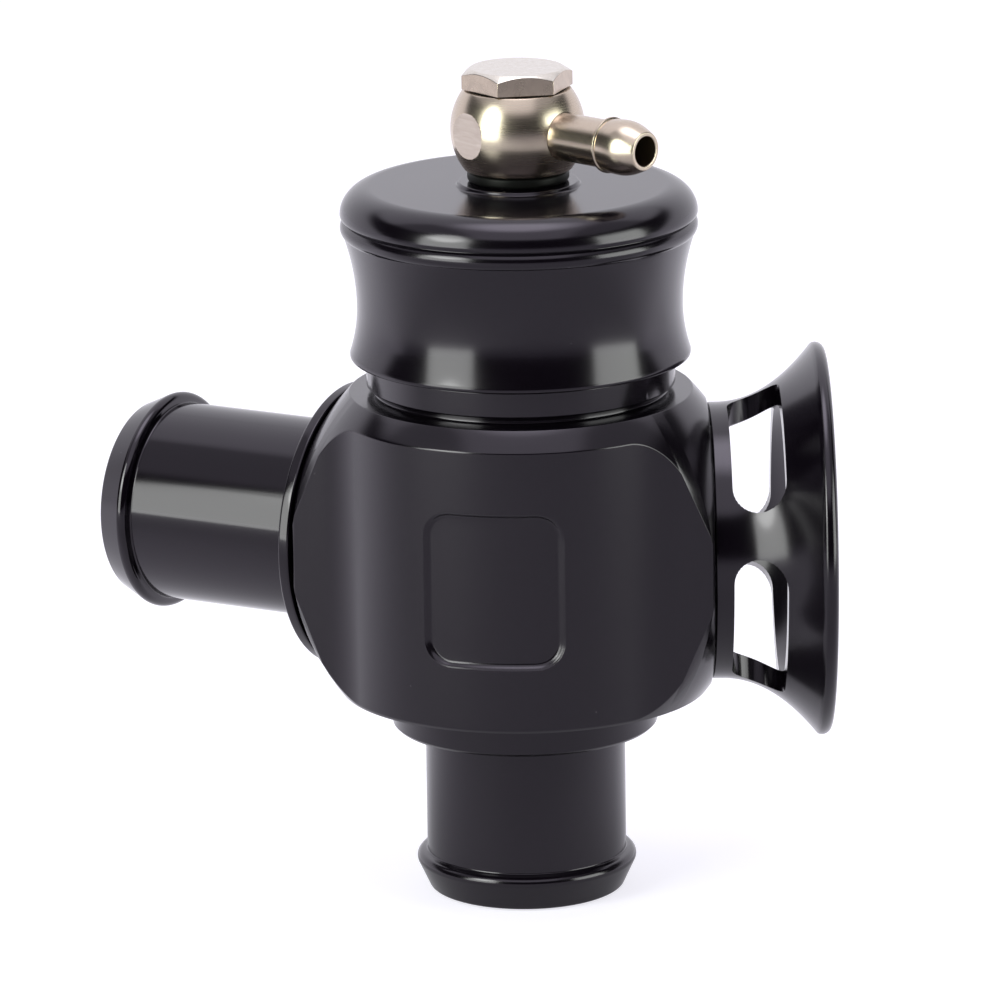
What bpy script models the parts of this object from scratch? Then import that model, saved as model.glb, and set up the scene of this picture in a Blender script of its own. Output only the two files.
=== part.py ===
"""Blow off valve: a ball-shaped body with a hose port below, a hose port at the side and an open trumpet.

Metres, +Z up. The origin is the centre of the inlet pipe's open end, on the valve's axis, so the valve
stands on that end. The trumpet points along +X. Every turned part is a profile of (radius, height) points
that runs down its outer side and back up its bore, spun about the part's own axis.
"""
import bpy
import bmesh
from math import asin, atan2, cos, degrees, hypot, pi, radians, sin, sqrt
from mathutils import Matrix, Vector

# Clearances between parts
SEAT_GAP = 0.0003            # between faces that meet
SEAL_GAP = 0.00015           # round each seal and each thin washer
THREAD_GAP = 0.0003          # round each screwed spigot, whose thread is left smooth
SLIDE_GAP = 0.0003           # between the piston and its bore
EDGE = 0.0004                # small broken edges

# Facets round the turned parts
BODY_FACETS = 32
SMALL_FACETS = 24
CORD_FACETS = 6

# Hose ports, both for a hose of the same bore
HOSE_RADIUS = 0.0125
PORT_WALL = 0.0020
BEAD_RISE = 0.00126
BEAD_CREST = 0.0006          # radius of the bead's rounded crest
BEAD_FROM_END = 0.0037
BEAD_BACK_LENGTH = 0.0010
NOSE_DROP = 0.00015          # radius lost from the pipe to its nose
NOSE_ROUND = 0.0006
INLET_PIPE_LENGTH = 0.0211
RECIRC_REACH = 0.0543        # from the valve's axis to the pipe's end

# Inlet fitting above its pipe
COLLAR_RADIUS = 0.01657
COLLAR_HEIGHT = 0.0047
SPIGOT_LENGTH = 0.0052

# Body
BORE_RADIUS = 0.0150
PORT_FACE = 0.02305          # from the valve's axis to each side port's flat
PORT_FLAT_RADIUS = 0.0179
FOOT_DROP = 0.0179           # from the side ports' axis down to the body's foot
PANEL_RADIUS = 0.02335       # plan radius of the milled panels round the body
ARM_HALF_WIDTH = 0.0174
ARM_FILLET = 0.0120
FILLET_STEPS = 6
PANEL_STEP = radians(11.0)
RECIRC_AZIMUTH = radians(150.0)
TRUMPET_AZIMUTH = 0.0
PORT_LIP = 0.0020            # wall left between each side spigot and the bore
SIDE_SPIGOT_WALL = 0.0030
NECK_WALL = 0.0028           # of the threaded neck, outside the bore
NECK_STEP = 0.00135          # from the thread out to the neck's plain band
SHOULDER_STEP = 0.00216      # from the plain band out to the ball's top edge
UNDERCUT_DEPTH = 0.0010
UNDERCUT_HEIGHT = 0.0009
NECK_BAND_HEIGHT = 0.0033
NECK_THREAD_LENGTH = 0.0138
CAP_SEAL_DROP = 0.0022       # from the neck's end down to its seal
BALL_STEPS = 12
BADGE_AZIMUTH = radians(259.0)
BADGE_WIDTH = 0.0168
BADGE_HEIGHT = 0.0190
BADGE_DEPTH = 0.0006
BADGE_CORNER = 0.0030

# Cap
WAIST_WALL = 0.00206
SKIRT_FLARE = 0.00094
SKIRT_LIP = 0.0005
RIM_FLARE = 0.00194
WAIST_RISE = 0.0063          # from the skirt's edge up to the waist
WAIST_STEPS = 4
RIM_BAND = 0.0009
RIM_GROOVE_DEPTH = 0.0007
RIM_GROOVE_WIDTH = 0.0018
DISC_BAND = 0.0004
DISC_EDGE_HEIGHT = 0.00345
DISC_EDGE_INSET = 0.0038
DISC_EDGE_STEPS = 5
CAP_THICKNESS = 0.00395
CHAMBER_RISE = 0.0040        # from the neck's end to the cap's underside
PAD_RADIUS = 0.0072
PAD_RISE = 0.0005
BOSS_DEPTH = 0.0060
BOSS_CLEARANCE = 0.0013      # inside the spring

# Piston
PISTON_LIFT = 0.0120
PISTON_HEADROOM = 0.0030     # left above the piston when it is fully up
PISTON_WALL = 0.0032
PISTON_FLOOR = 0.0040
PISTON_CHAMFER = 0.0006
BAND_THICKNESS = 0.0010
BAND_HEIGHT = 0.0030
BAND_FROM_TOP = 0.0011
BAND_OVER_PORT = 0.0021      # from the side ports' bore up to the lower band

# Seals, by the radius of their cord
PISTON_CORD = 0.0009
NOSE_CORD = 0.0008
CAP_CORD = 0.0007
SPIGOT_CORD = 0.00065

# Spring
WIRE_RADIUS = 0.0009
COIL_CLEARANCE = 0.0012      # inside the piston
COIL_TURNS = 8
POINTS_PER_TURN = 10
CLOSED_TURNS = 1             # turns that lie close together at each end
SPRING_SEAT_THICKNESS = 0.0008
SPRING_SEAT_HOLE = 0.0060

# Flange of the recirculation fitting
FLANGE_RADIUS = 0.0179
FLANGE_THICKNESS = 0.0015
FLANGE_UNDERCUT = 0.0003
FLANGE_UNDERCUT_RADIUS = 0.0155

# Trumpet
TRUMPET_COLLAR_RADIUS = 0.01725
TRUMPET_COLLAR_LENGTH = 0.0011
TRUMPET_REACH = 0.0379       # from the valve's axis to the bell's mouth
BELL_RADIUS = 0.0245
BELL_LIP = 0.00105           # radius of the rounded lip
THROAT_RADIUS = 0.0145       # of the bell's bore behind the windows
THROAT_LENGTH = 0.0023       # from the body's flat to where the port has opened out to it
THROAT_STEPS = 3
BELL_POWER = 2.1             # the bell's outer flare grows with this power of the distance
BELL_BORE_POWER = 1.85       # and its bore with this one
BELL_STEPS = 7
LIP_STEPS = 4
WINDOW_COUNT = 4
WINDOW_WIDTH = 0.0065
WINDOW_START = 0.0024        # from the body's flat to the windows' near edge
WINDOW_SPAN = radians(71.5)
WINDOW_AZIMUTH = radians(29.0)        # of the first window, about the trumpet's own axis
WINDOW_END_STEPS = 6

# Banjo fitting on the cap
BALL_RADIUS = 0.0083
BALL_HALF_HEIGHT = 0.0050
BANJO_STEPS = 8
BOLT_RADIUS = 0.0040
BOLT_GAP = 0.0003
BOLT_BORE = 0.0016
BOLT_BEYOND_BOSS = 0.0010
CROSS_BORE = 0.0012
AIR_GROOVE_DEPTH = 0.0011
AIR_GROOVE_HALF_HEIGHT = 0.0021
HEAD_CORNER_RADIUS = 0.00695
HEAD_HEIGHT = 0.0023
HEAD_TOP_RADIUS = 0.0057
HEAD_CHAMFER = 0.0008
HEAD_CORNER_AZIMUTH = radians(8.3)
UPPER_WASHER = 0.0005
UPPER_WASHER_WIDTH = 0.0014
UPPER_WASHER_SEAT = 0.00045   # depth of its counterbore in the ball
LOWER_WASHER = 0.00125
LOWER_WASHER_WIDTH = 0.0020
TAIL_AZIMUTH = radians(-45.0)
TAIL_REACH = 0.0213
TAIL_WALL = 0.0011
TAIL_BORE = 0.00185
SOCKET_DEPTH = 0.0021        # from the ball's surface in to the tail's inner end
BARB_RISE = 0.00045
BARB_STEP = 0.0002
BARB_FROM_TIP = 0.0055
BARB_CREST = 0.0034          # from the tip back to the barb's crest
BARB_STEPS = 4
TIP_WALL = 0.0005
SPANNER_FLAT_DEPTH = 0.0005

# Radii and heights that follow, the heights from the inlet pipe's end upwards
PORT_BORE = HOSE_RADIUS - PORT_WALL
SPIGOT_RADIUS = BORE_RADIUS - THREAD_GAP
SIDE_SPIGOT_RADIUS = PORT_BORE + SIDE_SPIGOT_WALL
SIDE_SPIGOT_HOLE = SIDE_SPIGOT_RADIUS + THREAD_GAP
SIDE_SPIGOT_END = BORE_RADIUS + PORT_LIP + SEAT_GAP
SIDE_SEAT = PORT_FACE + SEAT_GAP
SIDE_SEAL = (SIDE_SPIGOT_END + PORT_FACE) / 2
THREAD_RADIUS = BORE_RADIUS + NECK_WALL
NECK_RADIUS = THREAD_RADIUS + NECK_STEP
SHOULDER_RADIUS = NECK_RADIUS + SHOULDER_STEP
SPHERE_RADIUS = hypot(PORT_FACE, PORT_FLAT_RADIUS)
COLLAR_TOP = INLET_PIPE_LENGTH + COLLAR_HEIGHT
SEAT_HEIGHT = COLLAR_TOP + SPIGOT_LENGTH
BODY_BOTTOM = COLLAR_TOP + SEAT_GAP
INLET_SEAL = (BODY_BOTTOM + SEAT_HEIGHT) / 2
PORT_HEIGHT = BODY_BOTTOM + FOOT_DROP
SHOULDER_RISE = sqrt(SPHERE_RADIUS ** 2 - SHOULDER_RADIUS ** 2)
NECK_BAND_BOTTOM = PORT_HEIGHT + SHOULDER_RISE + UNDERCUT_HEIGHT
NECK_SHOULDER = NECK_BAND_BOTTOM + NECK_BAND_HEIGHT
NECK_END = NECK_SHOULDER + NECK_THREAD_LENGTH
CAP_BOTTOM = NECK_SHOULDER + SEAT_GAP
CAP_BORE = THREAD_RADIUS + THREAD_GAP
CAP_UNDERSIDE = NECK_END + CHAMBER_RISE
CAP_TOP = CAP_UNDERSIDE + CAP_THICKNESS
PAD_TOP = CAP_TOP + PAD_RISE
BOSS_BOTTOM = CAP_UNDERSIDE - BOSS_DEPTH
PISTON_BOTTOM = SEAT_HEIGHT + SEAT_GAP
PISTON_TOP = CAP_UNDERSIDE - PISTON_HEADROOM - PISTON_LIFT
PISTON_RADIUS = BORE_RADIUS - SLIDE_GAP
PISTON_BORE = PISTON_RADIUS - PISTON_WALL
FLOOR_TOP = PISTON_BOTTOM + PISTON_FLOOR
BAND_RADIUS = BORE_RADIUS - SEAL_GAP
LOWER_BAND = PORT_HEIGHT + PORT_BORE + BAND_OVER_PORT
UPPER_BAND = PISTON_TOP - BAND_FROM_TOP - BAND_HEIGHT
PISTON_SEAL = (LOWER_BAND + BAND_HEIGHT + UPPER_BAND) / 2
NOSE_SEAL_RADIUS = (PORT_BORE + SPIGOT_RADIUS) / 2
COIL_RADIUS = PISTON_BORE - COIL_CLEARANCE - WIRE_RADIUS
BOSS_RADIUS = COIL_RADIUS - WIRE_RADIUS - BOSS_CLEARANCE
LOWER_WASHER_BOTTOM = PAD_TOP + SEAL_GAP
BALL_HEIGHT = LOWER_WASHER_BOTTOM + LOWER_WASHER + SEAL_GAP + BALL_HALF_HEIGHT
UPPER_WASHER_BOTTOM = BALL_HEIGHT + BALL_HALF_HEIGHT - UPPER_WASHER_SEAT + SEAL_GAP
HEAD_BOTTOM = UPPER_WASHER_BOTTOM + UPPER_WASHER + SEAL_GAP
HEAD_TOP = HEAD_BOTTOM + HEAD_HEIGHT
BOLT_HOLE = BOLT_RADIUS + BOLT_GAP
TAIL_RADIUS = TAIL_BORE + TAIL_WALL
TAIL_END = BALL_RADIUS - SOCKET_DEPTH


def material(name, colour, roughness, metallic):
    """A plain finish, by its colour, roughness and metallic value."""
    finish = bpy.data.materials.new(name)
    finish.use_nodes = True
    shader = finish.node_tree.nodes["Principled BSDF"]
    shader.inputs["Base Color"].default_value = (*colour, 1.0)
    shader.inputs["Roughness"].default_value = roughness
    shader.inputs["Metallic"].default_value = metallic
    finish.diffuse_color = (*colour, 1.0)
    return finish


def collection(name):
    """A new collection in the scene."""
    made = bpy.data.collections.new(name)
    bpy.context.scene.collection.children.link(made)
    return made


def arc(centre, radius, start, end, steps):
    """Points on an arc, by angles in degrees from the first coordinate towards the second."""
    angles = [radians(start + (end - start) * step / steps) for step in range(steps + 1)]
    return [(centre[0] + radius * cos(angle), centre[1] + radius * sin(angle)) for angle in angles]


def turned(name, profile, where, facets=BODY_FACETS):
    """A solid of revolution about local Z. A profile that starts on the axis is left open there."""
    mesh = bpy.data.meshes.new(name)
    edges = [(i, i + 1) for i in range(len(profile) - 1)]
    if profile[0][0] > 0:
        edges.append((len(profile) - 1, 0))
    mesh.from_pydata([(radius, 0.0, height) for radius, height in profile], edges, [])
    made = bpy.data.objects.new(name, mesh)
    where.objects.link(made)
    screw = made.modifiers.new("Turn", "SCREW")
    screw.steps = facets
    screw.render_steps = facets
    screw.use_merge_vertices = True
    screw.merge_threshold = 0.00001
    return made


def from_curve(name, curve, where):
    """A mesh object from a curve, with its caps welded on."""
    drawn = bpy.data.objects.new(name, curve)
    where.objects.link(drawn)
    bpy.context.view_layer.update()
    evaluated = drawn.evaluated_get(bpy.context.evaluated_depsgraph_get())
    mesh = bpy.data.meshes.new_from_object(evaluated)
    bpy.data.objects.remove(drawn)
    work = bmesh.new()
    work.from_mesh(mesh)
    bmesh.ops.remove_doubles(work, verts=work.verts, dist=0.000001)
    work.to_mesh(mesh)
    work.free()
    made = bpy.data.objects.new(name, mesh)
    where.objects.link(made)
    return made


def prism(name, outline, bottom, top, where):
    """A solid with a flat outline of (x, y) points, drawn out along local Z."""
    curve = bpy.data.curves.new(name, "CURVE")
    curve.dimensions = "2D"
    curve.fill_mode = "BOTH"
    curve.extrude = (top - bottom) / 2
    spline = curve.splines.new("POLY")
    spline.points.add(len(outline) - 1)
    for point, (x, y) in zip(spline.points, outline):
        point.co = (x, y, 0.0, 1.0)
    spline.use_cyclic_u = True
    made = from_curve(name, curve, where)
    made.data.transform(Matrix.Translation((0.0, 0.0, (bottom + top) / 2)))
    return made


def primitive(name, build, where):
    """A mesh object that one bmesh call fills."""
    mesh = bpy.data.meshes.new(name)
    work = bmesh.new()
    build(work)
    work.to_mesh(mesh)
    work.free()
    made = bpy.data.objects.new(name, mesh)
    where.objects.link(made)
    return made


def combine(target, tool, operation):
    """Cuts, joins or trims a solid with another."""
    step = target.modifiers.new(tool.name, "BOOLEAN")
    step.operation = operation
    step.solver = "EXACT"
    step.object = tool
    tool.hide_render = True
    tool.display_type = "WIRE"


def settle(part, finish):
    """Applies a part's modifiers, shades its round faces smooth and gives it its finish."""
    bpy.context.view_layer.update()
    evaluated = part.evaluated_get(bpy.context.evaluated_depsgraph_get())
    mesh = bpy.data.meshes.new_from_object(evaluated)
    part.modifiers.clear()
    part.data = mesh
    mesh.shade_smooth()
    mesh.set_sharp_from_angle(angle=radians(35.0))
    mesh.materials.clear()
    mesh.materials.append(finish)


def lay_out(part, height, azimuth):
    """Lays a part's local Z level at a height, pointing away from the valve's axis."""
    part.location = (0.0, 0.0, height)
    part.rotation_euler = (0.0, pi / 2, azimuth)


def seal_ring(name, radius, height, cord, where, facets=BODY_FACETS):
    """A rubber ring of round section."""
    section = arc((radius, height), cord, 90, -270, CORD_FACETS)[:-1]
    return turned(name, section, where, facets)


def flat_ring(name, inner, outer, bottom, top, where, facets=BODY_FACETS):
    """A washer or band of square section."""
    return turned(name, [(outer, top), (outer, bottom), (inner, bottom), (inner, top)], where, facets)


def groove(radius, floor, bottom, top):
    """A square groove in the part of a profile that runs down an outer wall."""
    return [(radius, top), (floor, top), (floor, bottom), (radius, bottom)]


def seal_groove(radius, bore, height, cord):
    """The groove of a round seal that stands against a bore."""
    half = cord + SEAL_GAP
    return groove(radius, bore - 2 * half, height - half, height + half)


def hose_nose():
    """A hose pipe's end as (radius, distance from the end) points, from its bore over the bead."""
    slope = degrees(atan2(BEAD_RISE + NOSE_DROP, BEAD_FROM_END))
    nose = (HOSE_RADIUS - NOSE_DROP - NOSE_ROUND, NOSE_ROUND)
    crest = (HOSE_RADIUS + BEAD_RISE - BEAD_CREST, BEAD_FROM_END)
    points = [(PORT_BORE, 0.0)]
    points += arc(nose, NOSE_ROUND, -90, -slope, 3)
    points += arc(crest, BEAD_CREST, -slope, 70, 4)
    points.append((HOSE_RADIUS, BEAD_FROM_END + BEAD_BACK_LENGTH))
    return points


def side_spigot():
    """The screwed end of a side fitting, down to its bore."""
    points = [(SIDE_SPIGOT_RADIUS, SIDE_SEAT)]
    points += seal_groove(SIDE_SPIGOT_RADIUS, SIDE_SPIGOT_HOLE, SIDE_SEAL, SPIGOT_CORD)
    points += [(SIDE_SPIGOT_RADIUS, SIDE_SPIGOT_END + EDGE), (SIDE_SPIGOT_RADIUS - EDGE, SIDE_SPIGOT_END)]
    points.append((PORT_BORE, SIDE_SPIGOT_END))
    return points


def plan_outline():
    """The body from above: a circle with an arm to each side port and a fillet at each arm's root."""
    across = ARM_HALF_WIDTH + ARM_FILLET
    along = sqrt((PANEL_RADIUS + ARM_FILLET) ** 2 - across ** 2)
    root = atan2(across, along)
    outline = []
    for arm, following in ((TRUMPET_AZIMUTH, RECIRC_AZIMUTH), (RECIRC_AZIMUTH, TRUMPET_AZIMUTH + 2 * pi)):
        leaving = [(PORT_FACE, -ARM_HALF_WIDTH), (PORT_FACE, ARM_HALF_WIDTH)]
        leaving += arc((along, across), ARM_FILLET, 270, 180 + degrees(root), FILLET_STEPS)
        arriving = arc((along, -across), ARM_FILLET, 180 - degrees(root), 90, FILLET_STEPS)
        first, last = arm + root, following - root
        steps = max(2, round((last - first) / PANEL_STEP))
        between = arc((0.0, 0.0), PANEL_RADIUS, degrees(first), degrees(last), steps)[1:-1]
        outline += [Matrix.Rotation(arm, 2) @ Vector(point) for point in leaving]
        outline += [Vector(point) for point in between]
        outline += [Matrix.Rotation(following, 2) @ Vector(point) for point in arriving]
    return outline


def side_port_cutter(name, azimuth, cutters):
    """The bore of a side port, with the hole for its fitting's spigot."""
    beyond = SPHERE_RADIUS
    hole_end = BORE_RADIUS + PORT_LIP
    profile = [(0.0, beyond), (SIDE_SPIGOT_HOLE, beyond), (SIDE_SPIGOT_HOLE, hole_end)]
    profile += [(PORT_BORE, hole_end), (PORT_BORE, 0.0), (0.0, 0.0)]
    cutter = turned(name, profile, cutters)
    lay_out(cutter, PORT_HEIGHT, azimuth)
    return cutter


def badge_cutter(cutters):
    """A plain shallow pocket on the front panel, with round corners and a floor that follows the panel."""
    x, y = BADGE_HEIGHT / 2 - BADGE_CORNER, BADGE_WIDTH / 2 - BADGE_CORNER
    outline = []
    for corner, start in (((x, y), 0), ((-x, y), 90), ((-x, -y), 180), ((x, -y), 270)):
        outline += arc(corner, BADGE_CORNER, start, start + 90, 4)
    pocket = prism("badge_pocket", outline, PANEL_RADIUS / 2, SPHERE_RADIUS, cutters)
    lay_out(pocket, PORT_HEIGHT, BADGE_AZIMUTH)
    floor_radius = PANEL_RADIUS - BADGE_DEPTH
    top, bottom = PORT_HEIGHT + BADGE_HEIGHT, PORT_HEIGHT - BADGE_HEIGHT
    section = [(0.0, top), (floor_radius, top), (floor_radius, bottom), (0.0, bottom)]
    combine(pocket, turned("badge_floor", section, cutters), "DIFFERENCE")
    return pocket


def valve_body(parts, cutters):
    """The ball with its neck and bore, trimmed by the milled panels and bored for the side ports."""
    low = -degrees(asin(FOOT_DROP / SPHERE_RADIUS))
    high = degrees(asin(SHOULDER_RISE / SPHERE_RADIUS))
    neck = [(BORE_RADIUS, NECK_END), (THREAD_RADIUS - EDGE, NECK_END), (THREAD_RADIUS, NECK_END - EDGE)]
    neck += seal_groove(THREAD_RADIUS, CAP_BORE, NECK_END - CAP_SEAL_DROP, CAP_CORD)
    neck += [(THREAD_RADIUS, NECK_SHOULDER), (NECK_RADIUS, NECK_SHOULDER), (NECK_RADIUS, NECK_BAND_BOTTOM)]
    undercut = NECK_RADIUS - UNDERCUT_DEPTH
    neck += [(undercut, NECK_BAND_BOTTOM), (undercut, PORT_HEIGHT + SHOULDER_RISE)]
    ball = arc((0.0, PORT_HEIGHT), SPHERE_RADIUS, high, low, BALL_STEPS)
    body = turned("valve_body", neck + ball + [(BORE_RADIUS, BODY_BOTTOM)], parts)
    panels = prism("panel_outline", plan_outline(), BODY_BOTTOM - EDGE, NECK_END + EDGE, cutters)
    combine(body, panels, "INTERSECT")
    combine(body, side_port_cutter("trumpet_port", TRUMPET_AZIMUTH, cutters), "DIFFERENCE")
    combine(body, side_port_cutter("recirculation_port", RECIRC_AZIMUTH, cutters), "DIFFERENCE")
    combine(body, badge_cutter(cutters), "DIFFERENCE")
    return body


def top_cap(parts):
    """The screw cap: a disc with a rolled edge over a waisted skirt, and a boss inside for the banjo bolt."""
    waist_radius = CAP_BORE + WAIST_WALL
    rim_radius = waist_radius + RIM_FLARE
    profile = [(BOLT_HOLE, PAD_TOP), (PAD_RADIUS, PAD_TOP), (PAD_RADIUS, CAP_TOP)]
    for step in range(DISC_EDGE_STEPS + 1):
        angle = pi / 2 * (1 - step / DISC_EDGE_STEPS)
        inset = DISC_EDGE_INSET * (1 - cos(angle))
        profile.append((rim_radius - inset, CAP_TOP - DISC_EDGE_HEIGHT * (1 - sin(angle))))
    groove_top = CAP_TOP - DISC_EDGE_HEIGHT - DISC_BAND
    rim_top = groove_top - RIM_GROOVE_WIDTH
    rim_bottom = rim_top - RIM_BAND
    profile += [(rim_radius, groove_top), (rim_radius - RIM_GROOVE_DEPTH, (groove_top + rim_top) / 2)]
    profile.append((rim_radius, rim_top))
    waist_height = CAP_BOTTOM + WAIST_RISE
    for step in range(WAIST_STEPS + 1):
        part = 1 - step / WAIST_STEPS
        rise = (rim_bottom - waist_height) * part
        profile.append((waist_radius + RIM_FLARE * part ** 2, waist_height + rise))
    for step in range(1, WAIST_STEPS + 1):
        part = step / WAIST_STEPS
        drop = (waist_height - CAP_BOTTOM - SKIRT_LIP) * part
        profile.append((waist_radius + SKIRT_FLARE * part ** 2, waist_height - drop))
    profile += [(waist_radius + SKIRT_FLARE - EDGE / 2, CAP_BOTTOM), (CAP_BORE, CAP_BOTTOM)]
    profile += [(CAP_BORE, NECK_END + SEAT_GAP), (BORE_RADIUS, NECK_END + SEAT_GAP)]
    profile += [(BORE_RADIUS, CAP_UNDERSIDE), (BOSS_RADIUS, CAP_UNDERSIDE)]
    profile += [(BOSS_RADIUS, BOSS_BOTTOM), (BOLT_HOLE, BOSS_BOTTOM)]
    return turned("top_cap", profile, parts)


def inlet_fitting(parts):
    """The hose pipe below, whose screwed spigot ends in the piston's seat."""
    profile = [(PORT_BORE, SEAT_HEIGHT), (SPIGOT_RADIUS - EDGE, SEAT_HEIGHT)]
    profile.append((SPIGOT_RADIUS, SEAT_HEIGHT - EDGE))
    profile += seal_groove(SPIGOT_RADIUS, BORE_RADIUS, INLET_SEAL, SPIGOT_CORD)
    profile += [(SPIGOT_RADIUS, COLLAR_TOP), (COLLAR_RADIUS, COLLAR_TOP)]
    profile += [(COLLAR_RADIUS, INLET_PIPE_LENGTH + EDGE), (COLLAR_RADIUS - EDGE, INLET_PIPE_LENGTH)]
    profile.append((HOSE_RADIUS, INLET_PIPE_LENGTH))
    profile += reversed(hose_nose())
    return turned("inlet_fitting", profile, parts)


def recirculation_fitting(parts):
    """The hose pipe at the side, with a thin flange against the body."""
    flange_back = SIDE_SEAT + FLANGE_UNDERCUT
    flange_front = flange_back + FLANGE_THICKNESS
    profile = [(radius, RECIRC_REACH - distance) for radius, distance in hose_nose()]
    profile += [(HOSE_RADIUS, flange_front), (FLANGE_RADIUS - EDGE, flange_front)]
    profile += [(FLANGE_RADIUS, flange_front - EDGE), (FLANGE_RADIUS, flange_back)]
    profile += [(FLANGE_UNDERCUT_RADIUS, flange_back), (FLANGE_UNDERCUT_RADIUS, SIDE_SEAT)]
    fitting = turned("recirculation_fitting", profile + side_spigot(), parts)
    lay_out(fitting, PORT_HEIGHT, RECIRC_AZIMUTH)
    return fitting


def bell_curve(start, end, steps, power):
    """A flare between two (radius, distance) points, which starts along the axis and opens out."""
    points = []
    for step in range(steps + 1):
        part = step / steps
        radius = start[0] + (end[0] - start[0]) * part ** power
        points.append((radius, start[1] + (end[1] - start[1]) * part))
    return points


def window_cutter(name, azimuth, cutters):
    """One slot through the trumpet's wall, with round ends, drawn out from the trumpet's axis."""
    middle = PORT_FACE + WINDOW_START + WINDOW_WIDTH / 2
    half_width = WINDOW_WIDTH / 2
    end_angle = half_width / TRUMPET_COLLAR_RADIUS
    straight = WINDOW_SPAN / 2 - end_angle
    outline = []
    for side in (1, -1):
        for step in range(WINDOW_END_STEPS + 1):
            turn = pi / 2 - pi * step / WINDOW_END_STEPS
            angle = side * (straight + end_angle * cos(turn))
            outline.append((angle, middle + side * half_width * sin(turn)))
    rings = (THROAT_RADIUS / 2, BELL_RADIUS * 1.1)

    def build(work):
        walls = []
        for radius in rings:
            corners = [(radius * cos(azimuth + angle), radius * sin(azimuth + angle), height)
                       for angle, height in outline]
            walls.append([work.verts.new(corner) for corner in corners])
        count = len(outline)
        for i in range(count):
            j = (i + 1) % count
            work.faces.new((walls[0][i], walls[0][j], walls[1][j], walls[1][i]))
        work.faces.new(reversed(walls[0]))
        work.faces.new(walls[1])
        bmesh.ops.recalc_face_normals(work, faces=work.faces)

    cutter = primitive(name, build, cutters)
    lay_out(cutter, PORT_HEIGHT, TRUMPET_AZIMUTH)
    return cutter


def trumpet(parts, cutters):
    """The open horn, which flares from its collar to a rounded lip and has windows between four ribs."""
    collar_front = SIDE_SEAT + TRUMPET_COLLAR_LENGTH
    crest = (BELL_RADIUS - BELL_LIP, TRUMPET_REACH - BELL_LIP)
    throat_start = (PORT_BORE, SIDE_SEAT)
    throat_end = (THROAT_RADIUS, PORT_FACE + THROAT_LENGTH)
    profile = arc(crest, BELL_LIP, 180, -30, LIP_STEPS)
    collar = (TRUMPET_COLLAR_RADIUS, collar_front)
    profile += reversed(bell_curve(collar, profile.pop(), BELL_STEPS, BELL_POWER))
    profile += [(TRUMPET_COLLAR_RADIUS, SIDE_SEAT)] + side_spigot() + [throat_start]
    for step in range(1, THROAT_STEPS):
        angle = pi / 2 * step / THROAT_STEPS
        radius = throat_start[0] + (throat_end[0] - throat_start[0]) * sin(angle)
        profile.append((radius, throat_start[1] + (throat_end[1] - throat_start[1]) * (1 - cos(angle))))
    profile += bell_curve(throat_end, profile[0], BELL_STEPS, BELL_BORE_POWER)[:-1]
    horn = turned("trumpet", profile, parts)
    lay_out(horn, PORT_HEIGHT, TRUMPET_AZIMUTH)
    for index in range(WINDOW_COUNT):
        azimuth = WINDOW_AZIMUTH + 2 * pi * index / WINDOW_COUNT
        combine(horn, window_cutter("window_%d" % (index + 1), azimuth, cutters), "DIFFERENCE")
    return horn


def piston(parts):
    """The sliding cup that covers both side ports, with grooves for its guide bands and seals."""
    band_floor = BAND_RADIUS - BAND_THICKNESS - SEAL_GAP
    upper = groove(PISTON_RADIUS, band_floor, UPPER_BAND - SEAL_GAP, UPPER_BAND + BAND_HEIGHT + SEAL_GAP)
    lower = groove(PISTON_RADIUS, band_floor, LOWER_BAND - SEAL_GAP, LOWER_BAND + BAND_HEIGHT + SEAL_GAP)
    nose_half = NOSE_CORD + SEAL_GAP
    nose_top = PISTON_BOTTOM + 2 * NOSE_CORD
    profile = [(0.0, FLOOR_TOP), (PISTON_BORE, FLOOR_TOP), (PISTON_BORE, PISTON_TOP)]
    profile += [(PISTON_RADIUS - EDGE, PISTON_TOP), (PISTON_RADIUS, PISTON_TOP - EDGE)]
    profile += upper + seal_groove(PISTON_RADIUS, BORE_RADIUS, PISTON_SEAL, PISTON_CORD) + lower
    profile.append((PISTON_RADIUS, PISTON_BOTTOM + PISTON_CHAMFER))
    profile.append((PISTON_RADIUS - PISTON_CHAMFER, PISTON_BOTTOM))
    profile += [(NOSE_SEAL_RADIUS + nose_half, PISTON_BOTTOM), (NOSE_SEAL_RADIUS + nose_half, nose_top)]
    profile += [(NOSE_SEAL_RADIUS - nose_half, nose_top), (NOSE_SEAL_RADIUS - nose_half, PISTON_BOTTOM)]
    profile.append((0.0, PISTON_BOTTOM))
    return turned("piston", profile, parts, SMALL_FACETS)


def guide_bands(parts):
    """The two bands that the piston slides on."""
    bands = []
    for name, bottom in (("piston_upper_band", UPPER_BAND), ("piston_lower_band", LOWER_BAND)):
        inner, top = BAND_RADIUS - BAND_THICKNESS, bottom + BAND_HEIGHT
        bands.append(flat_ring(name, inner, BAND_RADIUS, bottom, top, parts, SMALL_FACETS))
    return bands


def against(bore, cord):
    """The radius of a round seal that lies against a bore."""
    return bore - SEAL_GAP - cord


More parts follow.
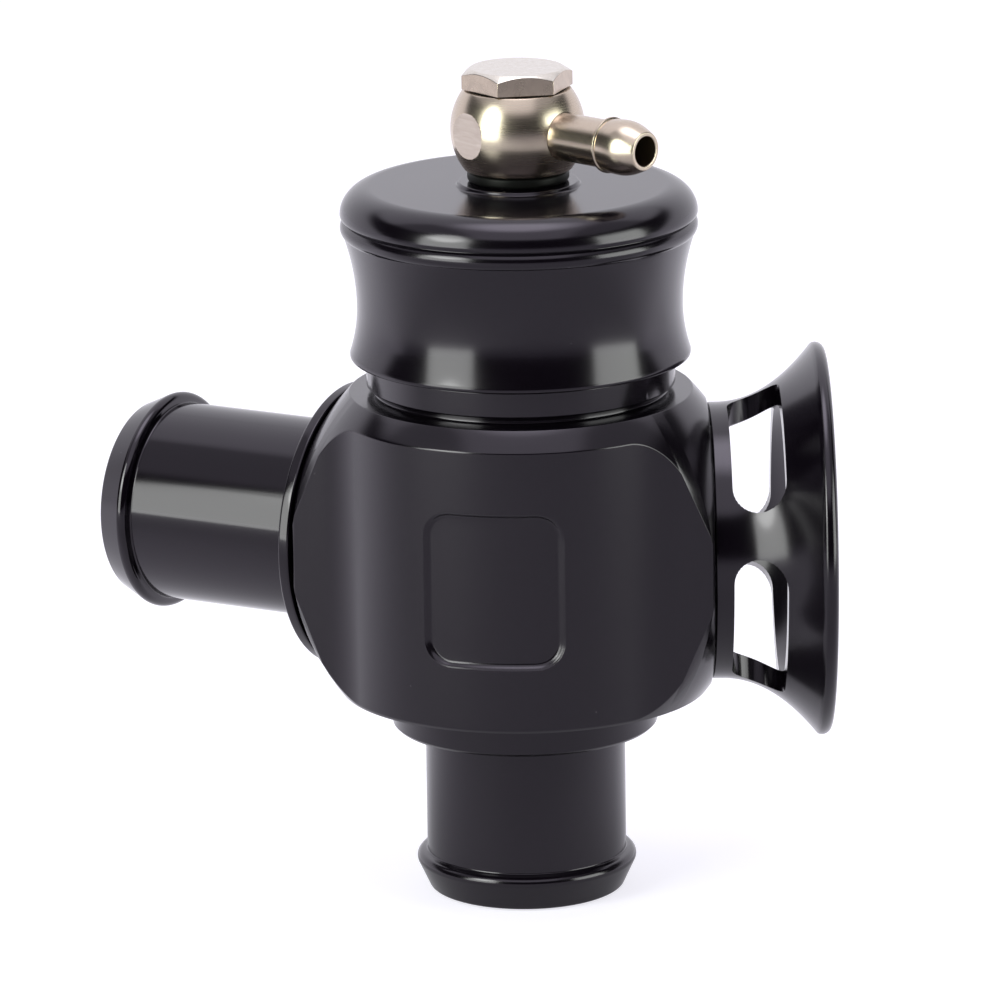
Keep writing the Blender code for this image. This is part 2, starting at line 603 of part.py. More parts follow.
def seals(parts):
    """The rubber rings of the cap, the fittings and the piston."""
    nose_height = PISTON_BOTTOM - SEAL_GAP + NOSE_CORD
    piston_radius = against(BORE_RADIUS, PISTON_CORD)
    rings = [
        seal_ring("cap_o_ring", against(CAP_BORE, CAP_CORD), NECK_END - CAP_SEAL_DROP, CAP_CORD, parts),
        seal_ring("inlet_o_ring", against(BORE_RADIUS, SPIGOT_CORD), INLET_SEAL, SPIGOT_CORD, parts),
        seal_ring("piston_o_ring", piston_radius, PISTON_SEAL, PISTON_CORD, parts, SMALL_FACETS),
        seal_ring("piston_nose_seal", NOSE_SEAL_RADIUS, nose_height, NOSE_CORD, parts, SMALL_FACETS),
    ]
    for name, azimuth in (("trumpet_o_ring", TRUMPET_AZIMUTH), ("recirculation_o_ring", RECIRC_AZIMUTH)):
        ring = seal_ring(name, against(SIDE_SPIGOT_HOLE, SPIGOT_CORD), SIDE_SEAL, SPIGOT_CORD, parts)
        lay_out(ring, PORT_HEIGHT, azimuth)
        rings.append(ring)
    return rings


def main_spring(parts):
    """The coil spring between the piston's floor and the cap, with closed turns at both ends."""
    bottom = FLOOR_TOP + 2 * SEAT_GAP + SPRING_SEAT_THICKNESS + WIRE_RADIUS
    top = CAP_UNDERSIDE - SEAT_GAP - WIRE_RADIUS
    closed_rise = CLOSED_TURNS * (2 * WIRE_RADIUS + SEAT_GAP)
    pitch = (top - bottom - 2 * closed_rise) / (COIL_TURNS - 2 * CLOSED_TURNS)
    curve = bpy.data.curves.new("main_spring", "CURVE")
    curve.dimensions = "3D"
    curve.bevel_depth = WIRE_RADIUS
    curve.bevel_resolution = 2
    curve.use_fill_caps = True
    spline = curve.splines.new("POLY")
    count = COIL_TURNS * POINTS_PER_TURN
    spline.points.add(count)
    for index, point in enumerate(spline.points):
        turn = index / POINTS_PER_TURN
        closed = min(turn, CLOSED_TURNS) + max(0.0, turn - (COIL_TURNS - CLOSED_TURNS))
        rise = closed * closed_rise / CLOSED_TURNS + (turn - closed) * pitch
        angle = 2 * pi * turn
        point.co = (COIL_RADIUS * cos(angle), COIL_RADIUS * sin(angle), bottom + rise, 1.0)
    return from_curve("main_spring", curve, parts)


def banjo_ring(parts, cutters):
    """The ball of the banjo fitting, bored for its bolt, with an air groove inside and two spanner flats."""
    flat_angle = degrees(asin(BALL_HALF_HEIGHT / BALL_RADIUS))
    air_radius = BOLT_HOLE + AIR_GROOVE_DEPTH
    seat_radius = BOLT_HOLE + UPPER_WASHER_WIDTH + SEAL_GAP
    seat_height = BALL_HALF_HEIGHT - UPPER_WASHER_SEAT
    profile = [(BOLT_HOLE, seat_height), (seat_radius, seat_height), (seat_radius, BALL_HALF_HEIGHT)]
    profile += arc((0.0, 0.0), BALL_RADIUS, flat_angle, -flat_angle, BANJO_STEPS)
    profile += [(BOLT_HOLE, -BALL_HALF_HEIGHT), (BOLT_HOLE, -AIR_GROOVE_HALF_HEIGHT)]
    profile += [(air_radius, -AIR_GROOVE_HALF_HEIGHT), (air_radius, AIR_GROOVE_HALF_HEIGHT)]
    profile.append((BOLT_HOLE, AIR_GROOVE_HALF_HEIGHT))
    ring = turned("banjo_ring", profile, parts, SMALL_FACETS)
    ring.location = (0.0, 0.0, BALL_HEIGHT)
    socket_radius, socket_end = TAIL_RADIUS + SEAL_GAP, TAIL_END - SEAT_GAP
    socket = [(0.0, BALL_RADIUS * 2), (socket_radius, BALL_RADIUS * 2), (socket_radius, socket_end)]
    socket += [(TAIL_BORE, socket_end), (TAIL_BORE, 0.0), (0.0, 0.0)]
    socket_cutter = turned("tail_socket", socket, cutters, SMALL_FACETS)
    lay_out(socket_cutter, BALL_HEIGHT, TAIL_AZIMUTH)
    combine(ring, socket_cutter, "DIFFERENCE")
    block = BALL_RADIUS * 2
    across = TAIL_AZIMUTH + pi / 2

    def cube(work):
        bmesh.ops.create_cube(work, size=block)

    for side in (1, -1):
        flat = primitive("spanner_flat", cube, cutters)
        centre = side * (BALL_RADIUS - SPANNER_FLAT_DEPTH + block / 2)
        flat.location = (centre * cos(across), centre * sin(across), BALL_HEIGHT)
        flat.rotation_euler = (0.0, 0.0, across)
        combine(ring, flat, "DIFFERENCE")
    return ring


def banjo_hose_tail(parts):
    """The small barbed pipe that the vacuum hose pushes onto."""
    back = TAIL_REACH - BARB_FROM_TIP
    tip_radius = TAIL_BORE + TIP_WALL
    barb_radius = TAIL_RADIUS + BARB_RISE
    crest = TAIL_REACH - BARB_CREST
    profile = [(TAIL_BORE, TAIL_REACH)]
    for radius, end in ((tip_radius, TAIL_REACH), (TAIL_RADIUS + BARB_STEP, back)):
        side = []
        for step in range(BARB_STEPS):
            part = step / BARB_STEPS
            rise = (barb_radius - radius) * sin(pi / 2 * part)
            side.append((radius + rise, end + (crest - end) * part))
        if end == TAIL_REACH:
            profile += side + [(barb_radius, crest)]
        else:
            profile += reversed(side)
    profile.append((TAIL_RADIUS, back))
    profile += [(TAIL_RADIUS, TAIL_END), (TAIL_BORE, TAIL_END)]
    tail = turned("banjo_hose_tail", profile, parts, SMALL_FACETS)
    lay_out(tail, BALL_HEIGHT, TAIL_AZIMUTH)
    return tail


def banjo_bolt(parts, cutters):
    """The hollow bolt: a chamfered hexagon head, a shank drilled up its middle and across at the banjo."""
    shank_bottom = BOSS_BOTTOM - BOLT_BEYOND_BOSS
    drilled_to = BALL_HEIGHT + CROSS_BORE
    profile = [(0.0, HEAD_BOTTOM + HEAD_HEIGHT / 2), (BOLT_RADIUS, HEAD_BOTTOM + HEAD_HEIGHT / 2)]
    profile += [(BOLT_RADIUS, shank_bottom + EDGE), (BOLT_RADIUS - EDGE, shank_bottom)]
    profile += [(BOLT_BORE, shank_bottom), (BOLT_BORE, drilled_to), (0.0, drilled_to)]
    bolt = turned("banjo_bolt", profile, parts, SMALL_FACETS)
    place = Matrix.Rotation(HEAD_CORNER_AZIMUTH - pi / 2, 4, "Z")    # its first corner starts on +Y
    place.translation.z = HEAD_BOTTOM + HEAD_HEIGHT / 2

    def hexagon(work):
        bmesh.ops.create_cone(work, cap_ends=True, segments=6, radius1=HEAD_CORNER_RADIUS,
                              radius2=HEAD_CORNER_RADIUS, depth=HEAD_HEIGHT, matrix=place)

    head = primitive("bolt_head", hexagon, cutters)
    wide = HEAD_CORNER_RADIUS + EDGE
    slope = HEAD_CHAMFER / (HEAD_CORNER_RADIUS - HEAD_TOP_RADIUS)
    low = HEAD_TOP - slope * (wide - HEAD_TOP_RADIUS)
    dome = [(0.0, HEAD_TOP), (HEAD_TOP_RADIUS, HEAD_TOP), (wide, low), (wide, HEAD_BOTTOM - EDGE)]
    dome.append((0.0, HEAD_BOTTOM - EDGE))
    combine(head, turned("head_chamfer", dome, cutters, SMALL_FACETS), "INTERSECT")
    combine(bolt, head, "UNION")
    cross = Matrix.Translation((0.0, 0.0, BALL_HEIGHT)) @ Matrix.Rotation(pi / 2, 4, "Y")

    def drill(work):
        bmesh.ops.create_cone(work, cap_ends=True, segments=SMALL_FACETS // 2, radius1=CROSS_BORE,
                              radius2=CROSS_BORE, depth=4 * BOLT_RADIUS, matrix=cross)

    combine(bolt, primitive("cross_drill", drill, cutters), "DIFFERENCE")
    return bolt


def washers(parts):
    """The thin washer under the bolt's head and the thicker one under the ball."""
    rings = []
    for name, bottom, thickness, width in (
            ("banjo_upper_washer", UPPER_WASHER_BOTTOM, UPPER_WASHER, UPPER_WASHER_WIDTH),
            ("banjo_lower_washer", LOWER_WASHER_BOTTOM, LOWER_WASHER, LOWER_WASHER_WIDTH)):
        outer, top = BOLT_HOLE + width, bottom + thickness
        rings.append(flat_ring(name, BOLT_HOLE, outer, bottom, top, parts, SMALL_FACETS))
    return rings


def spring_seat(parts):
    """The steel washer that the spring stands on inside the piston."""
    bottom = FLOOR_TOP + SEAT_GAP
    top = bottom + SPRING_SEAT_THICKNESS
    return flat_ring("spring_seat_washer", SPRING_SEAT_HOLE, PISTON_BORE - SEAT_GAP, bottom, top, parts)


for stale in list(bpy.data.objects):
    bpy.data.objects.remove(stale)

valve = collection("blow_off_valve")
cutting = collection("cutters")

black = material("black_anodised", (0.03, 0.028, 0.032), 0.32, 0.6)
nickel = material("nickel_plate", (0.70, 0.65, 0.58), 0.22, 1.0)
steel = material("spring_steel", (0.42, 0.42, 0.43), 0.35, 1.0)
bare = material("bare_aluminium", (0.72, 0.72, 0.73), 0.30, 1.0)
rubber = material("black_rubber", (0.02, 0.02, 0.02), 0.75, 0.0)
slide_band = material("bearing_band", (0.10, 0.08, 0.06), 0.55, 0.0)

for shell in (valve_body(valve, cutting), top_cap(valve), inlet_fitting(valve),
              recirculation_fitting(valve), trumpet(valve, cutting)):
    settle(shell, black)
settle(piston(valve), bare)
for band in guide_bands(valve):
    settle(band, slide_band)
for ring in seals(valve) + washers(valve):
    settle(ring, rubber)
settle(main_spring(valve), steel)
settle(spring_seat(valve), steel)
for fitting in (banjo_ring(valve, cutting), banjo_hose_tail(valve), banjo_bolt(valve, cutting)):
    settle(fitting, nickel)
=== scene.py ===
# %% [markdown]
# # Dressing a blow off valve for its photograph
#
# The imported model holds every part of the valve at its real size, but with few facets and plain finishes.
# This notebook keeps that model as a fixed frame and puts a finely turned skin in place of each part that
# shows. It then gives each skin the finish of the real metal: black anodised aluminium, turned or milled,
# and warm nickel plate on the small banjo fitting. All lengths are in metres, and the valve stands on the
# end of its inlet pipe, with +Z up and the trumpet along +X.

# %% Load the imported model
from math import acos, asin, atan2, cos, degrees, hypot, pi, radians, sin, sqrt, tan

import bmesh
import bpy
from mathutils import Matrix, Vector


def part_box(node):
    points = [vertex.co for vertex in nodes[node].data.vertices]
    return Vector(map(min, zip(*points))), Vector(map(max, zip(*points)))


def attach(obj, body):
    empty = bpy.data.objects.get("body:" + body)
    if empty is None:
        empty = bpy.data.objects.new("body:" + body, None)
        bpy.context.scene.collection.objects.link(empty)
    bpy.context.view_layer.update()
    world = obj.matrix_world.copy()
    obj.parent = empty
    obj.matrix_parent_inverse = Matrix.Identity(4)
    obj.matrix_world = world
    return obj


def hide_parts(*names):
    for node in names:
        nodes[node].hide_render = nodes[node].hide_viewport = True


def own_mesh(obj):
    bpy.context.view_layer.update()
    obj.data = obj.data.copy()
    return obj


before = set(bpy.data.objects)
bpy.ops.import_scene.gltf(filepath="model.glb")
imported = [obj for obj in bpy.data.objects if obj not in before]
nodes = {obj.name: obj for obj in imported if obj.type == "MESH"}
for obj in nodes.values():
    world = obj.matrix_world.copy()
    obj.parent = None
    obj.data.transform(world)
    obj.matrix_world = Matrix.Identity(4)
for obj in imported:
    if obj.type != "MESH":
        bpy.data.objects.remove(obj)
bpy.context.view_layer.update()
print("parts in the frame:", len(nodes))

# %% [markdown]
# ## The places everything is measured from
#
# A skin has to sit exactly where its part is, so its main heights and radii are read from the boxes of the
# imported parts. Only the details that a box can't tell, such as a fillet, get a value of their own. Two
# helpers put what is made into the scene.

# %% Read the main places from the frame
MM = 0.001
PAD_RISE = 0.5 * MM
body_low, body_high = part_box("valve_body")
cap_low, cap_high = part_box("top_cap")
horn_low, horn_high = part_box("trumpet")
PORT_HEIGHT = (horn_low.z + horn_high.z) / 2
BODY_BOTTOM = body_low.z
NECK_END = body_high.z
CAP_BOTTOM = cap_low.z
PAD_TOP = cap_high.z
CAP_TOP = PAD_TOP - PAD_RISE
SEAT_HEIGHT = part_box("inlet_fitting")[1].z
HORN_REACH = horn_high.x
SIDE_TURN = radians(150.0)
UP = Vector((0.0, 0.0, 1.0))


def new_object(name, data):
    """An object in the scene."""
    made = bpy.data.objects.new(name, data)
    bpy.context.scene.collection.objects.link(made)
    return made


def block(name, work, finish):
    """An object from the shape that bmesh has made."""
    mesh = bpy.data.meshes.new(name)
    work.to_mesh(mesh)
    work.free()
    mesh.materials.append(finish)
    return new_object(name, mesh)


print("port height %.2f mm, cap top %.2f mm" % (PORT_HEIGHT / MM, CAP_TOP / MM))

# %% [markdown]
# ## The camera
#
# The rims of the turned parts show in the photograph as ellipses. Their shape gives the camera's height,
# and how they change from top to bottom gives its distance. It stands about a metre away and looks down
# on the valve by about 15 degrees, with a long lens and a slight roll.

# %% Set the camera
VIEW_TURN = radians(1.5)
VIEW_FALL = radians(15.07)
VIEW_ROLL = radians(0.74)
VIEW_DISTANCE = 0.985
PHOTO_WIDTH = 1000
PIXELS_PER_METRE = 8023.0
AIM_PIXEL = (523.0, 543.6)
SENSOR = 36.0
VIEW_END = 20.0


def photo_camera():
    """A camera whose picture puts the middle of the ports' height on its pixel of the photograph."""
    forward = Vector((sin(VIEW_TURN) * cos(VIEW_FALL), cos(VIEW_TURN) * cos(VIEW_FALL), -sin(VIEW_FALL)))
    level = Vector((cos(VIEW_TURN), -sin(VIEW_TURN), 0.0))
    upward = level.cross(forward)
    focal = PIXELS_PER_METRE * VIEW_DISTANCE
    right = cos(VIEW_ROLL) * level - sin(VIEW_ROLL) * upward
    above = sin(VIEW_ROLL) * level + cos(VIEW_ROLL) * upward
    place = PORT_HEIGHT * UP - forward * VIEW_DISTANCE
    off_right = (AIM_PIXEL[0] - PHOTO_WIDTH / 2) / focal
    off_above = (PHOTO_WIDTH / 2 - AIM_PIXEL[1]) / focal
    back = -(forward - off_right * right - off_above * above).normalized()
    right = (right - right.dot(back) * back).normalized()
    above = back.cross(right)
    data = bpy.data.cameras.new("photo_camera")
    data.sensor_width = SENSOR
    data.lens = SENSOR * focal / PHOTO_WIDTH
    data.clip_end = VIEW_END
    camera = new_object("photo_camera", data)
    turn = Matrix((right, above, back)).transposed().to_4x4()
    camera.matrix_world = Matrix.Translation(place) @ turn
    bpy.context.scene.camera = camera
    return camera


camera = photo_camera()
bpy.context.scene.view_settings.view_transform = "Standard"
print("lens %.1f mm" % camera.data.lens)

# %% [markdown]
# ## The studio
#
# Black anodised metal shows little but what it reflects, so the studio matters more here than the colour.
# Behind the valve and over it everything is white, which draws the pale edges of the round parts and the
# light on the shoulders. In front and at the sides a dark band lies between the ceiling and the table,
# and it gives the metal its blacks. The world gets its white only from where a direction points, never
# from where the camera is. The camera sees plain white all round, and so do reflections of the backdrop.

# %% Build the world
ROOM = (0.012, 0.011, 0.013, 1.0)
WHITE = (1.01, 1.0, 1.07, 1.0)
CEILING_FROM = 0.52          # a direction's share of +Z where the white ceiling starts
CEILING_TO = 0.66
CEILING_HALF_WIDTH = (0.34, 0.54)
CEILING_BACK = (0.10, 0.34)
CEILING_DIM = 0.25
BACKDROP_FROM = 0.06         # a direction's share of +Y, less its rise, where the backdrop starts
BACKDROP_TO = 0.34
BACKDROP_SLOPE = 0.9


def set_up(tree, target, inputs):
    """Gives a node's inputs their values or joins them to sockets, by name or number."""
    for name, value in inputs.items():
        if isinstance(value, bpy.types.NodeSocket):
            tree.links.new(value, target.inputs[name])
        else:
            target.inputs[name].default_value = value
    return target


def add_node(tree, kind, inputs=None, **settings):
    """A new node with its settings and inputs."""
    made = tree.nodes.new(kind)
    for name, value in settings.items():
        setattr(made, name, value)
    return set_up(tree, made, inputs or {})


def math_node(tree, operation, *values):
    """A Math node between sockets or numbers."""
    return add_node(tree, "ShaderNodeMath", dict(enumerate(values)), operation=operation).outputs[0]


def soft_step(tree, value, low, high):
    """A mask that rises softly from 0 to 1 between two values."""
    inputs = {"Value": value, "From Min": low, "From Max": high}
    return add_node(tree, "ShaderNodeMapRange", inputs, interpolation_type="SMOOTHSTEP").outputs["Result"]


def colours(tree, mask, first, second):
    """A colour between two, by a mask."""
    inputs = {"A": first, "B": second, "Factor": mask}
    return add_node(tree, "ShaderNodeMix", inputs, data_type="RGBA").outputs["Result"]


def shown_white(tree, place):
    """Where white shows: to the camera everywhere, and in glossy and clear surfaces at its place."""
    path = add_node(tree, "ShaderNodeLightPath").outputs
    mirrored = math_node(tree, "MAXIMUM", path["Is Glossy Ray"], path["Is Transmission Ray"])
    placed = math_node(tree, "MULTIPLY", mirrored, place)
    return math_node(tree, "MAXIMUM", path["Is Camera Ray"], placed)


def studio_world():
    """A white backdrop and ceiling, and a dark room in front."""
    world = bpy.data.worlds.new("studio")
    world.use_nodes = True
    tree = world.node_tree
    tree.nodes.clear()
    direction = add_node(tree, "ShaderNodeTexCoord").outputs["Generated"]
    split = add_node(tree, "ShaderNodeSeparateXYZ", {0: direction}).outputs
    raised = math_node(tree, "MULTIPLY", math_node(tree, "MAXIMUM", split["Z"], 0.0), BACKDROP_SLOPE)
    behind = math_node(tree, "SUBTRACT", split["Y"], raised)
    backdrop = soft_step(tree, behind, BACKDROP_FROM, BACKDROP_TO)
    beside = soft_step(tree, math_node(tree, "ABSOLUTE", split["X"]), *CEILING_HALF_WIDTH)
    lit = math_node(tree, "SUBTRACT", 1.0, beside)
    lit = math_node(tree, "MAXIMUM", lit, soft_step(tree, split["Y"], *CEILING_BACK))
    lit = math_node(tree, "MAXIMUM", lit, CEILING_DIM)
    above = soft_step(tree, split["Z"], CEILING_FROM, CEILING_TO)
    place = math_node(tree, "MAXIMUM", backdrop, math_node(tree, "MULTIPLY", above, lit))
    around = add_node(tree, "ShaderNodeBackground", {"Color": colours(tree, place, ROOM, WHITE)}).outputs[0]
    seen = add_node(tree, "ShaderNodeBackground", {"Color": WHITE}).outputs[0]
    either = add_node(tree, "ShaderNodeMixShader", {0: shown_white(tree, place), 1: around, 2: seen})
    add_node(tree, "ShaderNodeOutputWorld", {"Surface": either.outputs[0]})
    bpy.context.scene.world = world


studio_world()
print("world ready")

# %% [markdown]
# ## The lamps
#
# Two upright soft boxes stand on the table, one to the left of the camera and one further round to the
# right. Where their edges lie was read from the patches on the cap's skirt: a patch on a round part tells
# the two angles between which a lamp stands. The left one is brighter in its upper middle, which the oval
# light on the banjo's ball shows. A weak round light hangs straight above. It is three discs of different
# widths, so that its edge is soft.

# %% Hang the lamps
LAMP_DISTANCE = 0.60
LAMP_COLOUR = (0.92, 1.0, 0.88)
LAMP_FOOT = 0.004
LEFT_BRIGHTNESS = 5.0
RIGHT_BRIGHTNESS = 4.5
CORE_TURN = radians(-51.0)
CORE_RISE = radians(34.0)
CORE_DISTANCE = 0.63
CORE_SIZE = (0.24, 0.30)
CORE_BRIGHTNESS = 4.5
OVERHEAD_WIDTHS = (0.30, 0.42, 0.54)
OVERHEAD_FROM = 0.725
OVERHEAD_BRIGHTNESS = 0.6
LAMP_FADE = (0.88, 1.0, 1.12)    # each lamp is three, of these heights, so that it fades upwards
LAMP_GAP = 0.01                  # between the three, as lamps in one plane hide one another


def soft_lamp(name, place, toward, width, height, brightness, shape="RECTANGLE", colour=LAMP_COLOUR):
    """A lamp with an even brightness that faces along a direction."""
    data = bpy.data.lights.new(name, "AREA")
    data.shape = shape
    data.size = width
    data.size_y = height
    data.energy = brightness * pi * width * height
    data.color = colour
    turn = (-toward).to_track_quat("Z", "Y").to_matrix().to_4x4()
    new_object(name, data).matrix_world = Matrix.Translation(place) @ turn
    print("%s: %.1f W" % (name, data.energy))


def upright_lamp(name, turn, half_angle, top_angle, brightness):
    """A soft box on the table, turned from the camera's side, with its half width and top as angles."""
    away = Vector((sin(turn), -cos(turn), 0.0))
    for index, share in enumerate(LAMP_FADE):
        distance = LAMP_DISTANCE + LAMP_GAP * index
        top = PORT_HEIGHT + distance * tan(top_angle * share)
        place = away * distance + (top + LAMP_FOOT) / 2 * UP
        width = 2 * distance * tan(half_angle)
        soft_lamp(name, place, -away, width, top - LAMP_FOOT, brightness / len(LAMP_FADE))


upright_lamp("left_softbox", radians(-50.5), radians(16.7), radians(33.0), LEFT_BRIGHTNESS)
upright_lamp("right_softbox", radians(67.0), radians(17.5), radians(28.0), RIGHT_BRIGHTNESS)
core_away = cos(CORE_RISE) * Vector((sin(CORE_TURN), -cos(CORE_TURN), 0.0)) + sin(CORE_RISE) * UP
soft_lamp("left_core", core_away * CORE_DISTANCE, -core_away, *CORE_SIZE, CORE_BRIGHTNESS, "ELLIPSE")
for index, width in enumerate(OVERHEAD_WIDTHS):
    over = (OVERHEAD_FROM + LAMP_GAP * index) * UP
    soft_lamp("overhead_panel", over, -over, width, width, OVERHEAD_BRIGHTNESS, "ELLIPSE", WHITE[:3])

# %% Lay the floor
FLOOR_SIZE = 6.0
FLOOR_PALE = (0.44, 0.425, 0.46, 1.0)
FLOOR_LIFT = 0.72
FLOOR_DROP = 0.0002
FLOOR_ROUGHNESS = 0.9
FLOOR_GLOSS = 0.1
PAPER_FROM = -0.08           # where the white paper begins to show in reflections, along +Y
PAPER_TO = 0.10


def studio_floor():
    """A pale floor that shows as white round the valve and keeps its soft shadow."""
    paper = bpy.data.materials.new("white_paper")
    paper.use_nodes = True
    tree = paper.node_tree
    here = add_node(tree, "ShaderNodeTexCoord").outputs["Object"]
    split = add_node(tree, "ShaderNodeSeparateXYZ", {0: here}).outputs
    place = soft_step(tree, split["Y"], PAPER_FROM, PAPER_TO)
    lift = math_node(tree, "MULTIPLY", shown_white(tree, place), FLOOR_LIFT)
    set_up(tree, tree.nodes["Principled BSDF"], {
        "Base Color": FLOOR_PALE, "Roughness": FLOOR_ROUGHNESS, "Specular IOR Level": FLOOR_GLOSS,
        "Emission Color": WHITE, "Emission Strength": lift})
    work = bmesh.new()
    below = Matrix.Translation(-FLOOR_DROP * UP)
    bmesh.ops.create_grid(work, x_segments=4, y_segments=4, size=FLOOR_SIZE / 2, matrix=below)
    floor = block("floor", work, paper)


studio_floor()

# %% [markdown]
# ## Profiles with rounded corners
#
# A lathe leaves no knife edge: each corner of a turned part is broken or rounded, and on black metal that
# round is a thin bright line. A profile here is a list of points of radius and height. A point with a
# third number has its corner rounded to that radius.

# %% Round the corners of a profile
FINE_EDGE = 0.0001
EDGE = 0.0002
BROAD_EDGE = 0.0003
CORNER_STEPS = 4
LONGEST_REACH = 0.48         # of the line on either side of a corner


def rounded(points):
    """The profile's points, with an arc at each corner that has a radius."""
    made = []
    for index, point in enumerate(points):
        corner = Vector(point[:2])
        if len(point) == 2:
            made.append(corner)
            continue
        before = Vector(points[index - 1][:2]) - corner
        after = Vector(points[index + 1][:2]) - corner
        half = before.angle(after) / 2
        reach = min(point[2] / tan(half), before.length * LONGEST_REACH, after.length * LONGEST_REACH)
        middle = corner + (before.normalized() + after.normalized()).normalized() * reach / cos(half)
        start = corner + before.normalized() * reach - middle
        swing = start.angle_signed(corner + after.normalized() * reach - middle)
        for step in range(CORNER_STEPS + 1):
            made.append(middle + Matrix.Rotation(-swing * step / CORNER_STEPS, 2) @ start)
    return made


# %% [markdown]
# ## Turning a profile
#
# Nearly every part of this valve came off a lathe, so one Geometry Nodes tree turns them all. A grid is
# bent round the axis: its rows take their radius and height from the profile's points, and its columns
# take their angle from their number. Merging by distance then closes the seam and the poles.

# %% Build the turning tree
SEAM_DISTANCE = 0.000002


def turning_tree():
    """The tree that turns a profile about Z, with its facets and finish as inputs."""
    tree = bpy.data.node_groups.new("turned_part", "GeometryNodeTree")
    for label, kind in (("Profile", "Geometry"), ("Facets", "Int"), ("Finish", "Material")):
        tree.interface.new_socket(label, in_out="INPUT", socket_type="NodeSocket" + kind)
    tree.interface.new_socket("Part", in_out="OUTPUT", socket_type="NodeSocketGeometry")
    given = add_node(tree, "NodeGroupInput").outputs
    size = add_node(tree, "GeometryNodeAttributeDomainSize", {0: given["Profile"]}, component="MESH")
    columns = math_node(tree, "ADD", given["Facets"], 1)
    grid_size = {"Vertices X": size.outputs["Point Count"], "Vertices Y": columns}
    grid = add_node(tree, "GeometryNodeMeshGrid", grid_size).outputs["Mesh"]
    number = add_node(tree, "GeometryNodeInputIndex").outputs[0]
    row = math_node(tree, "FLOOR", math_node(tree, "DIVIDE", number, columns))
    column = math_node(tree, "FLOORED_MODULO", number, columns)
    angle = math_node(tree, "MULTIPLY", math_node(tree, "DIVIDE", column, given["Facets"]), 2 * pi)
    here = add_node(tree, "GeometryNodeInputPosition").outputs[0]
    sampled = {"Geometry": given["Profile"], "Value": here, "Index": row}
    sample = add_node(tree, "GeometryNodeSampleIndex", sampled, data_type="FLOAT_VECTOR")
    split = add_node(tree, "ShaderNodeSeparateXYZ", {0: sample.outputs["Value"]}).outputs
    place = {"Z": split["Z"]}
    for axis, wave in (("X", "COSINE"), ("Y", "SINE")):
        place[axis] = math_node(tree, "MULTIPLY", split["X"], math_node(tree, wave, angle))
    around = add_node(tree, "ShaderNodeCombineXYZ", place).outputs[0]
    bend = add_node(tree, "GeometryNodeSetPosition", {"Geometry": grid, "Position": around}).outputs[0]
    weld = add_node(tree, "GeometryNodeMergeByDistance", {"Geometry": bend, "Distance": SEAM_DISTANCE})
    real = add_node(tree, "GeometryNodeRealizeInstances", {0: weld.outputs[0]}).outputs[0]
    finish = add_node(tree, "GeometryNodeSetMaterial", {"Geometry": real, "Material": given["Finish"]})
    add_node(tree, "NodeGroupOutput", {"Part": finish.outputs[0]})
    return tree


TURNING = turning_tree()

# %% [markdown]
# ## Effects that several finishes share
#
# Three things happen to all these surfaces. A lathe leaves rings, a milling cutter or a blasting pot leaves
# a fine grain, and handling leaves a few specks of dust. Each is a node group with named inputs, built once
# and placed in each material with its own values. The rings depend only on the height along the part's
# axis and the distance from it, which is just where a lathe tool leaves them.

# %% Build the shared effects
def effect(name, inputs, outputs):
    """An empty shader group with named inputs, and what it is given."""
    tree = bpy.data.node_groups.new(name, "ShaderNodeTree")
    for label, kind, value in inputs:
        socket = tree.interface.new_socket(label, in_out="INPUT", socket_type="NodeSocket" + kind)
        if value is not None:
            socket.default_value = value
    for label, kind in outputs:
        tree.interface.new_socket(label, in_out="OUTPUT", socket_type="NodeSocket" + kind)
    return tree, add_node(tree, "NodeGroupInput").outputs


def noise(tree, vector, scale, detail=2.0):
    """A noise texture's value at a vector."""
    inputs = {"Vector": vector, "Scale": scale, "Detail": detail}
    return add_node(tree, "ShaderNodeTexNoise", inputs).outputs["Fac"]


def blend(tree, first, second, share):
    """Two values added by their shares."""
    part = math_node(tree, "MULTIPLY", first, share)
    rest = math_node(tree, "MULTIPLY", second, 1.0 - share)
    return math_node(tree, "ADD", part, rest)


RING_PATCHES = 90.0          # a metre, of the uneven patches
RING_SHARE = 0.55            # of the rings in the roughness, against the patches
GRAIN_PATCHES = 70.0
GRAIN_SHARE = 0.6
SURFACE_INPUTS = [
    ("Vector", "Vector", None),
    ("Marks Per Metre", "Float", 6000.0),
    ("Depth", "Float", 0.000001),
    ("Smooth", "Float", 0.2),
    ("Rough", "Float", 0.3),
]
SURFACE_OUTPUTS = [("Roughness", "Float"), ("Normal", "Vector"), ("Mask", "Float"), ("Lines", "Float")]


def scaled(tree, vector, given):
    """A vector in marks instead of metres."""
    inputs = {0: vector, "Scale": given["Marks Per Metre"]}
    return add_node(tree, "ShaderNodeVectorMath", inputs, operation="SCALE").outputs[0]


def put_out(tree, given, marks, patches, share, mask):
    """Puts out a surface's roughness, normal and masks, from its marks and the uneven patches."""
    uneven = blend(tree, marks, patches, share)
    inputs = {"Value": uneven, "To Min": given["Smooth"], "To Max": given["Rough"]}
    roughness = add_node(tree, "ShaderNodeMapRange", inputs).outputs["Result"]
    relief = add_node(tree, "ShaderNodeBump", {"Height": marks, "Distance": given["Depth"]})
    results = {"Roughness": roughness, "Normal": relief.outputs["Normal"], "Mask": mask, "Lines": marks}
    add_node(tree, "NodeGroupOutput", results)
    return tree


